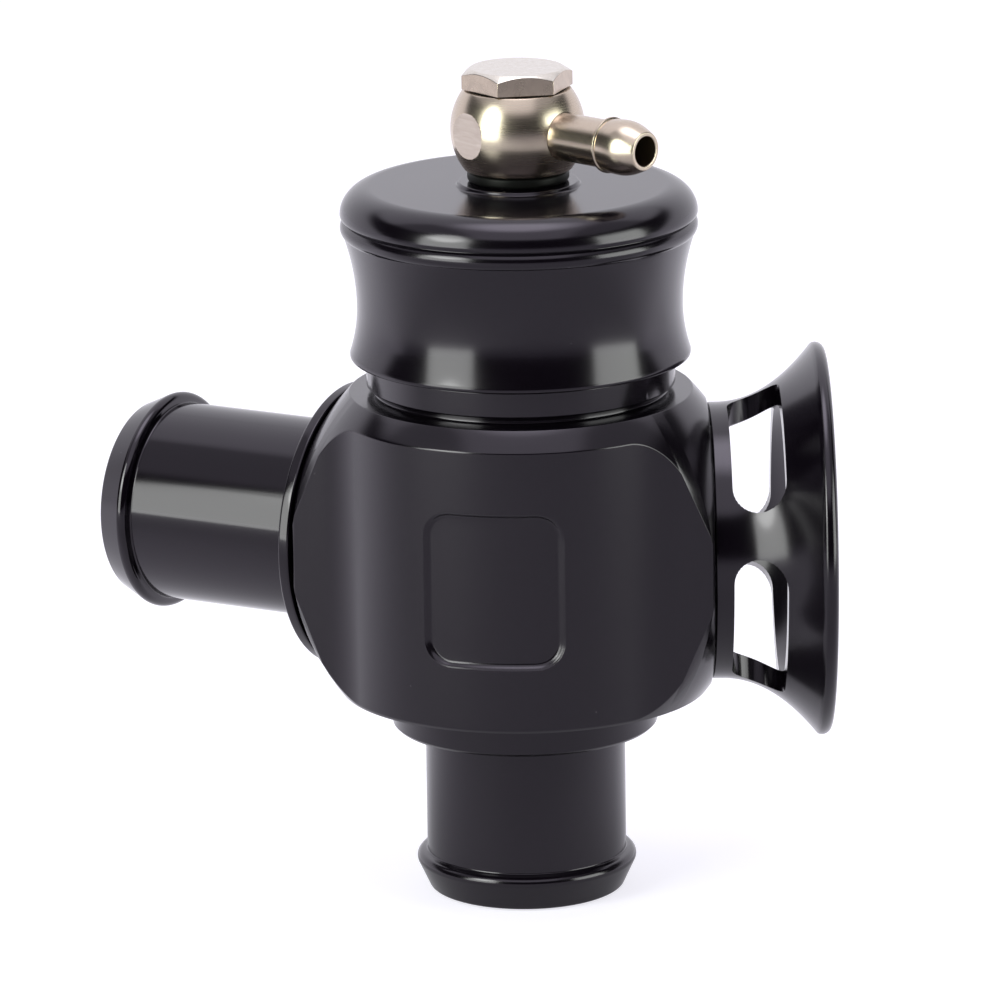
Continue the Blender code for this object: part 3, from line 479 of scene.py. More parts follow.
def tool_rings():
    """The rings that a lathe leaves, from coordinates whose Z is the part's axis."""
    tree, given = effect("tool_rings", SURFACE_INPUTS, SURFACE_OUTPUTS)
    split = add_node(tree, "ShaderNodeSeparateXYZ", {0: given["Vector"]}).outputs
    flat = add_node(tree, "ShaderNodeCombineXYZ", {"X": split["X"], "Y": split["Y"]}).outputs[0]
    radius = add_node(tree, "ShaderNodeVectorMath", {0: flat}, operation="LENGTH").outputs["Value"]
    ring = add_node(tree, "ShaderNodeCombineXYZ", {"X": radius, "Y": split["Z"]}).outputs[0]
    marks = noise(tree, scaled(tree, ring, given), 1.0, 3.0)
    patches = noise(tree, given["Vector"], RING_PATCHES)
    return put_out(tree, given, marks, patches, RING_SHARE, patches)


def fine_grain():
    """The even grain of a blasted or finely milled face."""
    tree, given = effect("fine_grain", SURFACE_INPUTS, SURFACE_OUTPUTS)
    grains = noise(tree, scaled(tree, given["Vector"], given), 1.0)
    patches = noise(tree, given["Vector"], GRAIN_PATCHES, 3.0)
    return put_out(tree, given, grains, patches, GRAIN_SHARE, grains)


def dust_specks():
    """Few and tiny pale specks, as a mask."""
    inputs = [("Vector", "Vector", None), ("Specks Per Metre", "Float", 260.0), ("Size", "Float", 0.02)]
    tree, given = effect("dust_specks", inputs, [("Mask", "Float")])
    spots = {"Vector": given["Vector"], "Scale": given["Specks Per Metre"]}
    away = add_node(tree, "ShaderNodeTexVoronoi", spots).outputs["Distance"]
    add_node(tree, "NodeGroupOutput", {"Mask": math_node(tree, "LESS_THAN", away, given["Size"])})
    return tree


TOOL_RINGS = tool_rings()
FINE_GRAIN = fine_grain()
DUST = dust_specks()

# %% [markdown]
# ## Black anodised aluminium
#
# Anodising turns the metal's skin into a clear, hard oxide with black dye in it. It acts like dark glass:
# hardly any colour of its own, a weak reflection seen straight on and a strong one at the edges. So the
# metal isn't metallic here. The turned parts are smooth with faint rings, and the milled panels are satin.
# The side pipe is polished best, as the sharp edge of the lamp on it shows.

# %% Mix the black finishes
DYE = (0.0016, 0.0010, 0.0021, 1.0)
DYE_WORN = (0.0034, 0.0022, 0.0043, 1.0)
DUST_COLOUR = (0.060, 0.055, 0.062, 1.0)
OXIDE_IOR = 1.58
OXIDE_TINT = (0.95, 0.88, 1.0, 1.0)


def axis_coordinates(tree, azimuth):
    """Object coordinates, turned for a part that points to the side so that its axis is Z."""
    here = add_node(tree, "ShaderNodeTexCoord").outputs["Object"]
    if azimuth is None:
        return here
    inputs = {"Vector": here, "Location": (0.0, 0.0, PORT_HEIGHT), "Rotation": (0.0, pi / 2, azimuth)}
    return add_node(tree, "ShaderNodeMapping", inputs, vector_type="TEXTURE").outputs["Vector"]


LOOK = ("Marks Per Metre", "Depth", "Smooth", "Rough")      # what a finish says of its surface, in this order


def finished(name, surface, look, first, second, mask="Mask", azimuth=None, dusty=False, shader=None):
    """A finish of two tones over a surface of rings or grain. The shader's own constants come last."""
    finish = bpy.data.materials.new(name)
    finish.use_nodes = True
    tree = finish.node_tree
    vector = axis_coordinates(tree, azimuth)
    inputs = dict(zip(LOOK, look)) | {"Vector": vector}
    marks = add_node(tree, "ShaderNodeGroup", inputs, node_tree=surface).outputs
    tone = colours(tree, marks[mask], first, second)
    if dusty:
        specks = add_node(tree, "ShaderNodeGroup", {"Vector": vector}, node_tree=DUST).outputs["Mask"]
        tone = colours(tree, specks, tone, DUST_COLOUR)
    inputs = {"Base Color": tone, "Roughness": marks["Roughness"], "Normal": marks["Normal"]}
    set_up(tree, tree.nodes["Principled BSDF"], inputs | (shader or {}))
    return finish


def anodised(name, surface, look, azimuth=None):
    """Black anodising over a surface of rings or grain."""
    oxide = {"IOR": OXIDE_IOR, "Specular Tint": OXIDE_TINT}
    return finished(name, surface, look, DYE, DYE_WORN, azimuth=azimuth, dusty=True, shader=oxide)


GLOSS = (5200.0, 0.0000005, 0.13, 0.21)
SATIN = (7000.0, 0.0000012, 0.17, 0.27)
POLISH = (6400.0, 0.0000004, 0.06, 0.12)
UPRIGHT_BLACK = anodised("black_turned_upright", TOOL_RINGS, GLOSS)
HORN_BLACK = anodised("black_turned_trumpet", TOOL_RINGS, GLOSS, 0.0)
SIDE_BLACK = anodised("black_turned_side_pipe", TOOL_RINGS, POLISH, SIDE_TURN)
PANEL_BLACK = anodised("black_satin_panel", FINE_GRAIN, SATIN)

# %% [markdown]
# ## Nickel plate
#
# The banjo fitting is brass with a thin coat of nickel, which leaves it bright but warmer than chrome. The
# plate follows the tool marks below it, so the ball has soft, uneven reflections and not a mirror's.

# %% Mix the nickel
NICKEL = (0.65, 0.565, 0.475, 1.0)
NICKEL_WARM = (0.56, 0.455, 0.36, 1.0)
NICKEL_DULL = (0.62, 0.55, 0.485, 1.0)
NICKEL_LINE = (0.42, 0.35, 0.295, 1.0)
NICKEL_PAINTED_HIGHLIGHT = (0.80, 0.765, 0.715, 1.0)
NICKEL_PAINTED_HIGHLIGHT_TAN = (0.68, 0.615, 0.54, 1.0)
NICKEL_BAR = (0.60, 0.50, 0.41, 1.0)


def plated(name, surface, look, first=NICKEL, second=NICKEL_WARM, mask="Mask"):
    """Nickel plate or bare metal over a surface of rings or grain."""
    return finished(name, surface, look, first, second, mask, shader={"Metallic": 1.0})


BALL_NICKEL = plated("nickel_ball", TOOL_RINGS, (4200.0, 0.0000010, 0.19, 0.34))
# The bolt head's top and chamfer, and its shank, get a paler nickel than the ball and the hexagon sides,
# though one plate covers them all: a painted highlight.
BOLT_NICKEL_PAINTED_HIGHLIGHT = plated("nickel_bolt_head_painted_highlight", FINE_GRAIN, (1600.0, 0.0000004, 0.20, 0.32), NICKEL_PAINTED_HIGHLIGHT, NICKEL_PAINTED_HIGHLIGHT_TAN)
DRAWN_BAR = (900.0, 0.0000003, 0.20, 0.34)
SIDE_NICKEL = plated("nickel_hexagon_sides", FINE_GRAIN, DRAWN_BAR, NICKEL_BAR, NICKEL_LINE)
TAIL_NICKEL = plated("nickel_hose_tail", FINE_GRAIN, (3600.0, 0.0000012, 0.18, 0.30))
BRUSHED = (1900.0, 0.0000020, 0.16, 0.26)
FLAT_NICKEL = plated("nickel_spanner_flat", TOOL_RINGS, BRUSHED, NICKEL_DULL, NICKEL_LINE, "Lines")

# %% [markdown]
# ## The finishes inside
#
# Little shows of the inner parts: the bare piston through the trumpet and from below, and the rubber rings
# at their edges. They still get real finishes, as they show from below and with the piston raised.

# %% Mix the inner finishes
ALUMINIUM = (0.72, 0.72, 0.74, 1.0)
ALUMINIUM_DULL = (0.6192, 0.6192, 0.6364, 1.0)
STEEL = (0.42, 0.42, 0.44, 1.0)
STEEL_DULL = (0.3612, 0.3612, 0.3784, 1.0)
BLACK = (0.004, 0.004, 0.004, 1.0)
BLACK_PALE = (0.009, 0.009, 0.009, 1.0)
BRONZE = (0.09, 0.07, 0.05, 1.0)
BRONZE_PALE = (0.13, 0.10, 0.075, 1.0)
SOFT_GLOSS = 0.12


def soft_black(name, look, first, second):
    """Rubber or a bearing plastic: dull, dark and faintly mottled."""
    return finished(name, FINE_GRAIN, look, first, second, shader={"Specular IOR Level": SOFT_GLOSS})


TURNED = (4500.0, 0.0000012, 0.22, 0.36)
DRAWN_WIRE = (3000.0, 0.0000010, 0.28, 0.42)
PISTON_BARE = plated("piston_aluminium", TOOL_RINGS, TURNED, ALUMINIUM, ALUMINIUM_DULL)
SPRING_STEEL = plated("spring_wire_steel", TOOL_RINGS, DRAWN_WIRE, STEEL, STEEL_DULL)
RUBBER = soft_black("seal_rubber", (5000.0, 0.0000020, 0.34, 0.50), BLACK, BLACK_PALE)
BAND = soft_black("bearing_band_plastic", (3500.0, 0.0000020, 0.40, 0.55), BRONZE, BRONZE_PALE)
print("finishes:", len(bpy.data.materials))

# %% [markdown]
# ## From a tree to a finished skin
#
# A skin has to be a plain mesh before it joins the frame. These helpers bake its modifiers, point its faces
# outwards and shade it by weighted normals, which keep a flat face flat beside a small round. The last one
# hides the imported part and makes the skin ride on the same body.

# %% Helpers for skins
BODY_FACETS = 192
SMALL_FACETS = 128
SHARP_ANGLE = radians(38.0)
AREA_WEIGHT = 90


def bake(made):
    """Turns an object and its modifiers into a plain mesh."""
    bpy.context.view_layer.update()
    evaluated = made.evaluated_get(bpy.context.evaluated_depsgraph_get())
    mesh = bpy.data.meshes.new_from_object(evaluated)
    made.modifiers.clear()
    made.data = mesh
    return made


def outward(made):
    """Welds a mesh and points its faces outwards."""
    work = bmesh.new()
    work.from_mesh(made.data)
    bmesh.ops.remove_doubles(work, verts=work.verts, dist=SEAM_DISTANCE)
    bmesh.ops.recalc_face_normals(work, faces=work.faces)
    work.to_mesh(made.data)
    work.free()
    return made


def shaded(made):
    """Smooth shading with sharp corners, weighted by the faces' areas."""
    made.data.shade_smooth()
    made.data.set_sharp_from_angle(angle=SHARP_ANGLE)
    weigh = made.modifiers.new("Weigh", "WEIGHTED_NORMAL")
    weigh.keep_sharp = True
    weigh.weight = AREA_WEIGHT
    return bake(made)


def set_inputs(modifier, values):
    """A tree's inputs, found by their names and set by their identifiers."""
    for item in modifier.node_group.interface.items_tree:
        if item.item_type == "SOCKET" and item.in_out == "INPUT" and item.name in values:
            modifier[item.identifier] = values[item.name]


def laid(made, azimuth, height=PORT_HEIGHT):
    """Lays a part's axis level at a height, pointing away from the valve."""
    turn = Matrix.Rotation(azimuth, 4, "Z") @ Matrix.Rotation(pi / 2, 4, "Y")
    made.data.transform(Matrix.Translation(height * UP) @ turn)
    return made


def faced(name, corners, faces, finishes, numbers=None):
    """An object from its corners and faces, and which of its finishes each face has."""
    mesh = bpy.data.meshes.new(name)
    mesh.from_pydata(corners, [], faces)
    for finish in finishes:
        mesh.materials.append(finish)
    if numbers:
        mesh.polygons.foreach_set("material_index", numbers)
    return outward(new_object(name, mesh))


def stacked(name, rings, finish):
    """A solid from rings of corners, one over the other, with a face at each end."""
    count = len(rings[0])
    faces = []
    for i in range(0, (len(rings) - 1) * count, count):
        for j in range(count):
            ahead = (j + 1) % count
            faces.append((i + j, i + ahead, i + count + ahead, i + count + j))
    last = (len(rings) - 1) * count
    faces += [tuple(range(count)), tuple(range(last, last + count))]
    return faced(name, [corner for ring in rings for corner in ring], faces, (finish,))


def turned(name, profile, finish, facets=BODY_FACETS):
    """A part turned about Z from its rounded profile."""
    mesh = bpy.data.meshes.new(name)
    corners = [(point[0], 0.0, point[1]) for point in rounded(profile)]
    mesh.from_pydata(corners, [(i, i + 1) for i in range(len(corners) - 1)], [])
    made = new_object(name, mesh)
    turn = made.modifiers.new("Turn", "NODES")
    turn.node_group = TURNING
    set_inputs(turn, {"Facets": facets, "Finish": finish})
    return outward(bake(made))


def cut(made, cutters, operation="DIFFERENCE"):
    """Cuts an object with others, which are then deleted."""
    for cutter in cutters:
        step = made.modifiers.new(cutter.name, "BOOLEAN")
        step.operation = operation
        step.object = cutter
        step.material_mode = "TRANSFER"
    bake(made)
    for cutter in cutters:
        bpy.data.objects.remove(cutter)
    return made


def dress(made, node, body):
    """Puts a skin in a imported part's place, on the same body."""
    shaded(made)
    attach(made, body)
    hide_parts(node)
    low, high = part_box(node)
    print("%s: %d faces, height %.1f mm" % (made.name, len(made.data.polygons), (high.z - low.z) / MM))
    return made


print("facets of a large part:", BODY_FACETS)

# %% [markdown]
# ## The body
#
# On the real valve a ball is turned first, with its neck, and then upright panels are milled off it all the
# way round, so the body is the shape that a ball and an upright outline have in common. That rule gives a
# clean mesh without a cut: go round the outline column by column, and in each column follow the ball down
# to where it meets the outline, drop straight down, and follow the ball again. The edge between turned and
# milled metal then runs along the mesh, and a small round on it catches the light.

# %% Set the body's sizes
BORE_RADIUS = 0.0150
PORT_BORE = 0.0105
PORT_FACE = 0.02305
SPHERE_RADIUS = hypot(PORT_FACE, 0.0179)
SPIGOT_HOLE = 0.0138
SPIGOT_HOLE_END = 0.0170
PANEL_RADIUS = 0.02335
ARM_HALF_WIDTH = 0.0178
ARM_FILLET = 0.0120
ARM_CORNER = 0.0005
THREAD_RADIUS = 0.0178
NECK_RADIUS = 0.01915
SHOULDER_RADIUS = 0.02131
UNDERCUT_RADIUS = 0.01815
UNDERCUT_HEIGHT = 0.0009
NECK_BAND_HEIGHT = 0.0033
MILLED_ROUND = 0.00013
TURNED_ROUND = 0.00025
FLAT_STEPS = 22
FILLET_STEPS = 16
PANEL_STEP = radians(1.6)
SHOULDER = PORT_HEIGHT + sqrt(SPHERE_RADIUS ** 2 - SHOULDER_RADIUS ** 2)
NECK_BAND_BOTTOM = SHOULDER + UNDERCUT_HEIGHT
NECK_SHOULDER = NECK_BAND_BOTTOM + NECK_BAND_HEIGHT


def arc(centre, radius, start, end, steps):
    """Points on an arc between two angles in degrees."""
    angles = [radians(start + (end - start) * step / steps) for step in range(steps + 1)]
    return [Vector((centre[0] + radius * cos(a), centre[1] + radius * sin(a))) for a in angles]


# %% Draw the outline from above
def arm_half():
    """Half of an arm's outline, from the middle of its flat to where its fillet meets the round panel."""
    across = ARM_HALF_WIDTH + ARM_FILLET
    along = sqrt((PANEL_RADIUS + ARM_FILLET) ** 2 - across ** 2)
    root = degrees(atan2(across, along))
    reach = ARM_HALF_WIDTH - ARM_CORNER
    flat = [Vector((PORT_FACE, reach * step / FLAT_STEPS)) for step in range(FLAT_STEPS)]
    corner = arc((PORT_FACE - ARM_CORNER, reach), ARM_CORNER, 0, 90, 4)
    fillet = arc((along, across), ARM_FILLET, 270, 180 + root, FILLET_STEPS)
    return flat + corner + fillet, radians(root)


def body_outline():
    """The whole outline, counter-clockwise from the middle of the trumpet's flat."""
    half, root = arm_half()
    mirrored = [Vector((point.x, -point.y)) for point in reversed(half[1:])]
    outline = []
    for arm, following in ((0.0, SIDE_TURN), (SIDE_TURN, 2 * pi)):
        outline += [Matrix.Rotation(arm, 2) @ point for point in half]
        start, end = arm + root, following - root
        steps = round((end - start) / PANEL_STEP)
        outline += arc((0.0, 0.0), PANEL_RADIUS, degrees(start), degrees(end), steps)[1:-1]
        outline += [Matrix.Rotation(following, 2) @ point for point in mirrored]
    return outline


# %% Follow one column
BALL_STEPS = 12
PANEL_ROWS = 18
FOOT_STEPS = 5
ROUND_STEPS = 3


def corner_curve(start, corner, end):
    """A small round through a corner."""
    points = []
    for step in range(ROUND_STEPS + 1):
        share = step / ROUND_STEPS
        points.append(start * (1 - share) ** 2 + corner * (2 * share * (1 - share)) + end * share ** 2)
    return points


def on_ball(angle):
    """A point of the ball's outline, by its angle above the ports' level."""
    return Vector((SPHERE_RADIUS * cos(angle), PORT_HEIGHT + SPHERE_RADIUS * sin(angle)))


def column(radius):
    """One column's points, from the neck's bore over the outside to the foot, and its milled rows."""
    top = asin((SHOULDER - PORT_HEIGHT) / SPHERE_RADIUS)
    foot = asin((BODY_BOTTOM - PORT_HEIGHT) / SPHERE_RADIUS)
    edge = acos(radius / SPHERE_RADIUS)
    trim = MILLED_ROUND / SPHERE_RADIUS
    upper, lower = top - 6 * trim, edge + trim
    points = rounded([
        (BORE_RADIUS, NECK_END), (THREAD_RADIUS, NECK_END, TURNED_ROUND), (THREAD_RADIUS, NECK_SHOULDER),
        (NECK_RADIUS, NECK_SHOULDER, TURNED_ROUND), (NECK_RADIUS, NECK_BAND_BOTTOM, TURNED_ROUND),
        (UNDERCUT_RADIUS, NECK_BAND_BOTTOM, TURNED_ROUND), (UNDERCUT_RADIUS, SHOULDER, TURNED_ROUND),
        (SHOULDER_RADIUS, SHOULDER, TURNED_ROUND), on_ball(upper)])
    points += [on_ball(upper + (lower - upper) * step / BALL_STEPS) for step in range(1, BALL_STEPS)]
    height = SPHERE_RADIUS * sin(edge)
    wall_top = Vector((radius, PORT_HEIGHT + height - MILLED_ROUND))
    wall_foot = Vector((radius, PORT_HEIGHT - height + MILLED_ROUND))
    points += corner_curve(on_ball(lower), Vector((radius, PORT_HEIGHT + height)), wall_top)
    first = len(points) - 1
    points += [wall_top.lerp(wall_foot, row / PANEL_ROWS) for row in range(1, PANEL_ROWS)]
    last = len(points)
    points += corner_curve(wall_foot, Vector((radius, PORT_HEIGHT - height)), on_ball(-lower))
    points += [on_ball(-lower + (foot + lower) * step / FOOT_STEPS) for step in range(1, FOOT_STEPS + 1)]
    points.append(Vector((BORE_RADIUS, BODY_BOTTOM)))
    return points, range(first, last)


# %% Build the body
POCKET_AZIMUTH = radians(259.0)
POCKET_WIDTH = 0.0168
POCKET_HEIGHT = 0.0190
POCKET_DEPTH = 0.0006
POCKET_CORNER = 0.0030
POCKET_RIM = 0.00045
POCKET_STEPS = 14
POCKET_SLOPE = [(1.1, -0.2), (0.72, 0.06), (0.45, 0.15), (0.2, 0.32), (0.0, 0.5), (-0.2, 0.68),
                (-0.45, 0.85), (-0.72, 0.94), (-1.0, 1.0)]      # shares of the rim and of the depth
ABOVE_POCKET = 2 * MM
CUTTER_FACETS = 96


def body_shell():
    """The body as a mesh of columns, with the milled rows in the second finish."""
    outline = body_outline()
    columns = []
    for point in outline:
        profile, milled = column(point.length)
        turn = point.normalized()
        columns.append([(turn.x * step.x, turn.y * step.x, step.y) for step in profile])
    rows, count = len(columns[0]), len(columns)
    faces, finishes = [], []
    for j in range(count):
        ahead = (j + 1) % count
        for i in range(rows):
            up = (i + 1) % rows
            faces.append((j * rows + i, j * rows + up, ahead * rows + up, ahead * rows + i))
            finishes.append(1 if i in milled else 0)
    corners = [corner for line in columns for corner in line]
    return faced("body_shell", corners, faces, (UPRIGHT_BLACK, PANEL_BLACK), finishes)


def port_cutter(azimuth):
    """A side port's bore and the hole for its fitting."""
    beyond = 1.5 * SPHERE_RADIUS
    profile = [(0.0, beyond), (SPIGOT_HOLE, beyond), (SPIGOT_HOLE, SPIGOT_HOLE_END)]
    profile += [(PORT_BORE, SPIGOT_HOLE_END), (PORT_BORE, 0.0), (0.0, 0.0)]
    return laid(turned("port_cutter", profile, UPRIGHT_BLACK, CUTTER_FACETS), azimuth)


def pocket_ring(grow, share, radius):
    """A ring of the pocket's outline on the round panel, grown by a distance or shrunk by a share."""
    half_width = (POCKET_WIDTH / 2 + grow) * share
    half_height = (POCKET_HEIGHT / 2 + grow) * share
    corner = (POCKET_CORNER + grow) * share
    points = []
    for side, rise, start in ((1, 1, 0), (-1, 1, 90), (-1, -1, 180), (1, -1, 270)):
        centre = (side * (half_width - corner), rise * (half_height - corner))
        points += arc(centre, corner, start, start + 90, 8)
        if side * rise > 0:
            across = Vector((-side, 0.0)) * 2 * (half_width - corner)
        else:
            across = Vector((0.0, -rise)) * 2 * (half_height - corner)
        points += [points[-1] + across * step / POCKET_STEPS for step in range(1, POCKET_STEPS)]
    ring = []
    for point in points:
        azimuth = POCKET_AZIMUTH + asin(point.x / PANEL_RADIUS)
        ring.append((radius * cos(azimuth), radius * sin(azimuth), PORT_HEIGHT + point.y))
    return ring


def pocket_cutter():
    """A shallow pocket whose floor follows the panel, with a soft step all round."""
    floor = PANEL_RADIUS - POCKET_DEPTH
    rings = [(ABOVE_POCKET, share, PANEL_RADIUS + ABOVE_POCKET) for share in (0.02, 0.25, 0.5, 0.75, 1.0)]
    for across, depth in POCKET_SLOPE:
        rings.append((across * POCKET_RIM, 1.0, PANEL_RADIUS - depth * POCKET_DEPTH))
    rings += [(-POCKET_RIM, share, floor) for share in (0.85, 0.7, 0.55, 0.4, 0.25, 0.02)]
    return stacked("pocket_cutter", [pocket_ring(*ring) for ring in rings], PANEL_BLACK)


body = body_shell()
cut(body, [port_cutter(0.0), port_cutter(SIDE_TURN), pocket_cutter()])
dress(body, "valve_body", "body")

# %% [markdown]
# ## The cap
#
# The cap screws over the neck and holds the spring down. It is one turned piece: a flat disc with a rolled
# edge, a sharp little notch over a round bead, and a waisted skirt that flares out to a rounded lip. The
# slow curves decide where the lamps show as patches, so they are drawn as curves and not as straight runs.

# %% Turn the cap
THREAD_GAP = 0.0003
CAP_BORE = THREAD_RADIUS + THREAD_GAP
WAIST_RADIUS = CAP_BORE + 0.00206
RIM_RADIUS = WAIST_RADIUS + 0.00194
SKIRT_FLARE = 0.00094
SKIRT_LIP = 0.0005
WAIST_RISE = 0.0063
DISC_EDGE_HEIGHT = 0.00345
DISC_EDGE_INSET = 0.0038
NOTCH_DEPTH = 0.0006
NOTCH_DROP = 0.0004
BEAD_ROUND = 0.0013
PAD_RADIUS = 0.0074
BOLT_HOLE = 0.0043
CAP_UNDERSIDE = CAP_TOP - 0.00395
BOSS_RADIUS = 0.0072
BOSS_BOTTOM = CAP_UNDERSIDE - 0.0060
ROLL_STEPS = 28
WAIST_STEPS = 24


def cap_profile():
    """The cap from the pad's edge down the outside and up its bore."""
    notch = CAP_TOP - DISC_EDGE_HEIGHT - NOTCH_DROP
    bead = (RIM_RADIUS - BEAD_ROUND, notch - BEAD_ROUND + 0.0001)
    waist = CAP_BOTTOM + WAIST_RISE
    points = [(BOLT_HOLE, PAD_TOP), (PAD_RADIUS, PAD_TOP, EDGE), (PAD_RADIUS + 0.0002, CAP_TOP, 0.0005)]
    for step in range(ROLL_STEPS + 1):
        angle = pi / 2 * (1 - step / ROLL_STEPS)
        inset = DISC_EDGE_INSET * (1 - cos(angle))
        points.append((RIM_RADIUS - inset, CAP_TOP - DISC_EDGE_HEIGHT * (1 - sin(angle))))
    points.append((RIM_RADIUS - 0.0001, notch + 0.0001, EDGE))
    points.append((RIM_RADIUS - NOTCH_DEPTH, notch, FINE_EDGE))
    points += arc(bead, BEAD_ROUND, 55, -40, 16)
    root_radius, root = points[-1][0] - 0.0001, points[-1][1] - 0.0001
    points.append((root_radius, root, FINE_EDGE))
    for step in range(1, WAIST_STEPS + 1):
        share = 1 - step / WAIST_STEPS
        reach = WAIST_RADIUS + (root_radius - WAIST_RADIUS) * share ** 2
        points.append((reach, waist + (root - waist) * share))
    drop = WAIST_RISE - SKIRT_LIP
    for step in range(1, WAIST_STEPS + 1):
        share = step / WAIST_STEPS
        points.append((WAIST_RADIUS + SKIRT_FLARE * share ** 2, waist - drop * share))
    return points + [
        (WAIST_RADIUS + SKIRT_FLARE, CAP_BOTTOM, BROAD_EDGE), (CAP_BORE, CAP_BOTTOM),
        (CAP_BORE, NECK_END + THREAD_GAP), (BORE_RADIUS, NECK_END + THREAD_GAP),
        (BORE_RADIUS, CAP_UNDERSIDE), (BOSS_RADIUS, CAP_UNDERSIDE), (BOSS_RADIUS, BOSS_BOTTOM),
        (BOLT_HOLE, BOSS_BOTTOM), (BOLT_HOLE, PAD_TOP)]


dress(turned("cap_shell", cap_profile(), UPRIGHT_BLACK), "top_cap", "body")

# %% [markdown]
# ## The two hose pipes
#
# Both pipes end in the same bead: a ridge that a hose clamp can't slip over. Its back is steep, with a
# tight valley at its root, and its front is a long cone that the hose slides up, with a rounded nose.

# %% Turn the hose pipes
HOSE_RADIUS = 0.0125
BEAD_RISE = 0.00126
BEAD_CREST = 0.0009
BEAD_FROM_END = 0.0037
BEAD_BACK_LENGTH = 0.0010
NOSE_DROP = 0.00015
NOSE_ROUND = 0.0006
PIPE_LENGTH = 0.0211
COLLAR_RADIUS = 0.01657
COLLAR_TOP = 0.0258
SPIGOT_RADIUS = 0.0147
BORE_FROM_END = 0.0005
COLLAR_CHAMFER = 0.0004
SIDE_SPIGOT_RADIUS = 0.0135
SIDE_SPIGOT_END = 0.0173
SIDE_SEAT = PORT_FACE + 0.0002
SIDE_REACH = 0.0543
FLANGE_RADIUS = 0.0179
FLANGE_THICKNESS = 0.0015
FLANGE_ROUND = 0.00035
FLANGE_UNDERCUT = 0.0003
FLANGE_UNDERCUT_RADIUS = 0.0155


def hose_end():
    """A hose pipe's end, from its bore over the bead, as points of radius and distance from the end."""
    slope = degrees(atan2(BEAD_RISE + NOSE_DROP, BEAD_FROM_END))
    nose = (HOSE_RADIUS - NOSE_DROP - NOSE_ROUND, NOSE_ROUND)
    crest = (HOSE_RADIUS + BEAD_RISE - BEAD_CREST, BEAD_FROM_END)
    points = [(PORT_BORE, BORE_FROM_END), (PORT_BORE, 0.0, BROAD_EDGE)]
    points += arc(nose, NOSE_ROUND, -90, -slope, 10) + arc(crest, BEAD_CREST, -slope, 80, 16)
    points.append((HOSE_RADIUS, BEAD_FROM_END + BEAD_BACK_LENGTH, 0.00025))
    return points


def inlet_profile():
    """The inlet fitting: its beaded pipe, its collar and the spigot inside the body."""
    return hose_end() + [
        (HOSE_RADIUS, PIPE_LENGTH, EDGE), (COLLAR_RADIUS - COLLAR_CHAMFER, PIPE_LENGTH, FINE_EDGE),
        (COLLAR_RADIUS, PIPE_LENGTH + COLLAR_CHAMFER, FINE_EDGE), (COLLAR_RADIUS, COLLAR_TOP, EDGE),
        (SPIGOT_RADIUS, COLLAR_TOP), (SPIGOT_RADIUS, SEAT_HEIGHT, BROAD_EDGE),
        (PORT_BORE, SEAT_HEIGHT, BROAD_EDGE), (PORT_BORE, BORE_FROM_END)]


def side_spigot():
    """The end of a side fitting that screws into the body."""
    return [(SIDE_SPIGOT_RADIUS, SIDE_SEAT), (SIDE_SPIGOT_RADIUS, SIDE_SPIGOT_END, BROAD_EDGE),
            (PORT_BORE, SIDE_SPIGOT_END, EDGE)]


def side_profile():
    """The recirculation fitting: the same pipe end, a thin flange and its spigot."""
    back = SIDE_SEAT + FLANGE_UNDERCUT
    front = back + FLANGE_THICKNESS
    points = [(point[0], SIDE_REACH - point[1]) + tuple(point[2:]) for point in hose_end()]
    points += [(HOSE_RADIUS, front, EDGE), (FLANGE_RADIUS, front, FLANGE_ROUND)]
    points += [(FLANGE_RADIUS, back, BROAD_EDGE), (FLANGE_UNDERCUT_RADIUS, back)]
    points += [(FLANGE_UNDERCUT_RADIUS, SIDE_SEAT)] + side_spigot()
    points.append((PORT_BORE, SIDE_REACH - BORE_FROM_END))
    return points


dress(turned("inlet_pipe", inlet_profile(), UPRIGHT_BLACK), "inlet_fitting", "body")
side_pipe = laid(turned("side_pipe", side_profile(), SIDE_BLACK), SIDE_TURN)
dress(side_pipe, "recirculation_fitting", "body")

# %% [markdown]
# ## The trumpet
#
# The trumpet is turned as a thin horn that opens slowly and then quickly, with a rounded lip. Four long
# windows with round ends are then milled through its wall, and leave four ribs. A curve with a power of
# the distance gives the flare, so that one number decides how late it opens; the bore opens a little
# sooner than the outside, so the wall thins towards the lip.

# %% Turn the trumpet and mill its windows
HORN_COLLAR_RADIUS = 0.01725
HORN_COLLAR_LENGTH = 0.0011
BELL_RADIUS = 0.0245
BELL_LIP = 0.00105
THROAT_RADIUS = 0.0145
THROAT_LENGTH = 0.0023
BELL_POWER = 2.1
BELL_BORE_POWER = 1.85
BELL_STEPS = 30
THROAT_STEPS = 10
WINDOW_COUNT = 4
WINDOW_TURN = radians(29.0)
WINDOW_WIDTH = 0.0065
WINDOW_START = 0.0024
WINDOW_SPAN = radians(71.5)
WINDOW_STEPS = 20


def bell_curve(start, end, steps, power):
    """A flare between two points of radius and distance, which starts along the axis and opens out."""
    return [(start[0] + (end[0] - start[0]) * (step / steps) ** power,
             start[1] + (end[1] - start[1]) * step / steps) for step in range(steps + 1)]


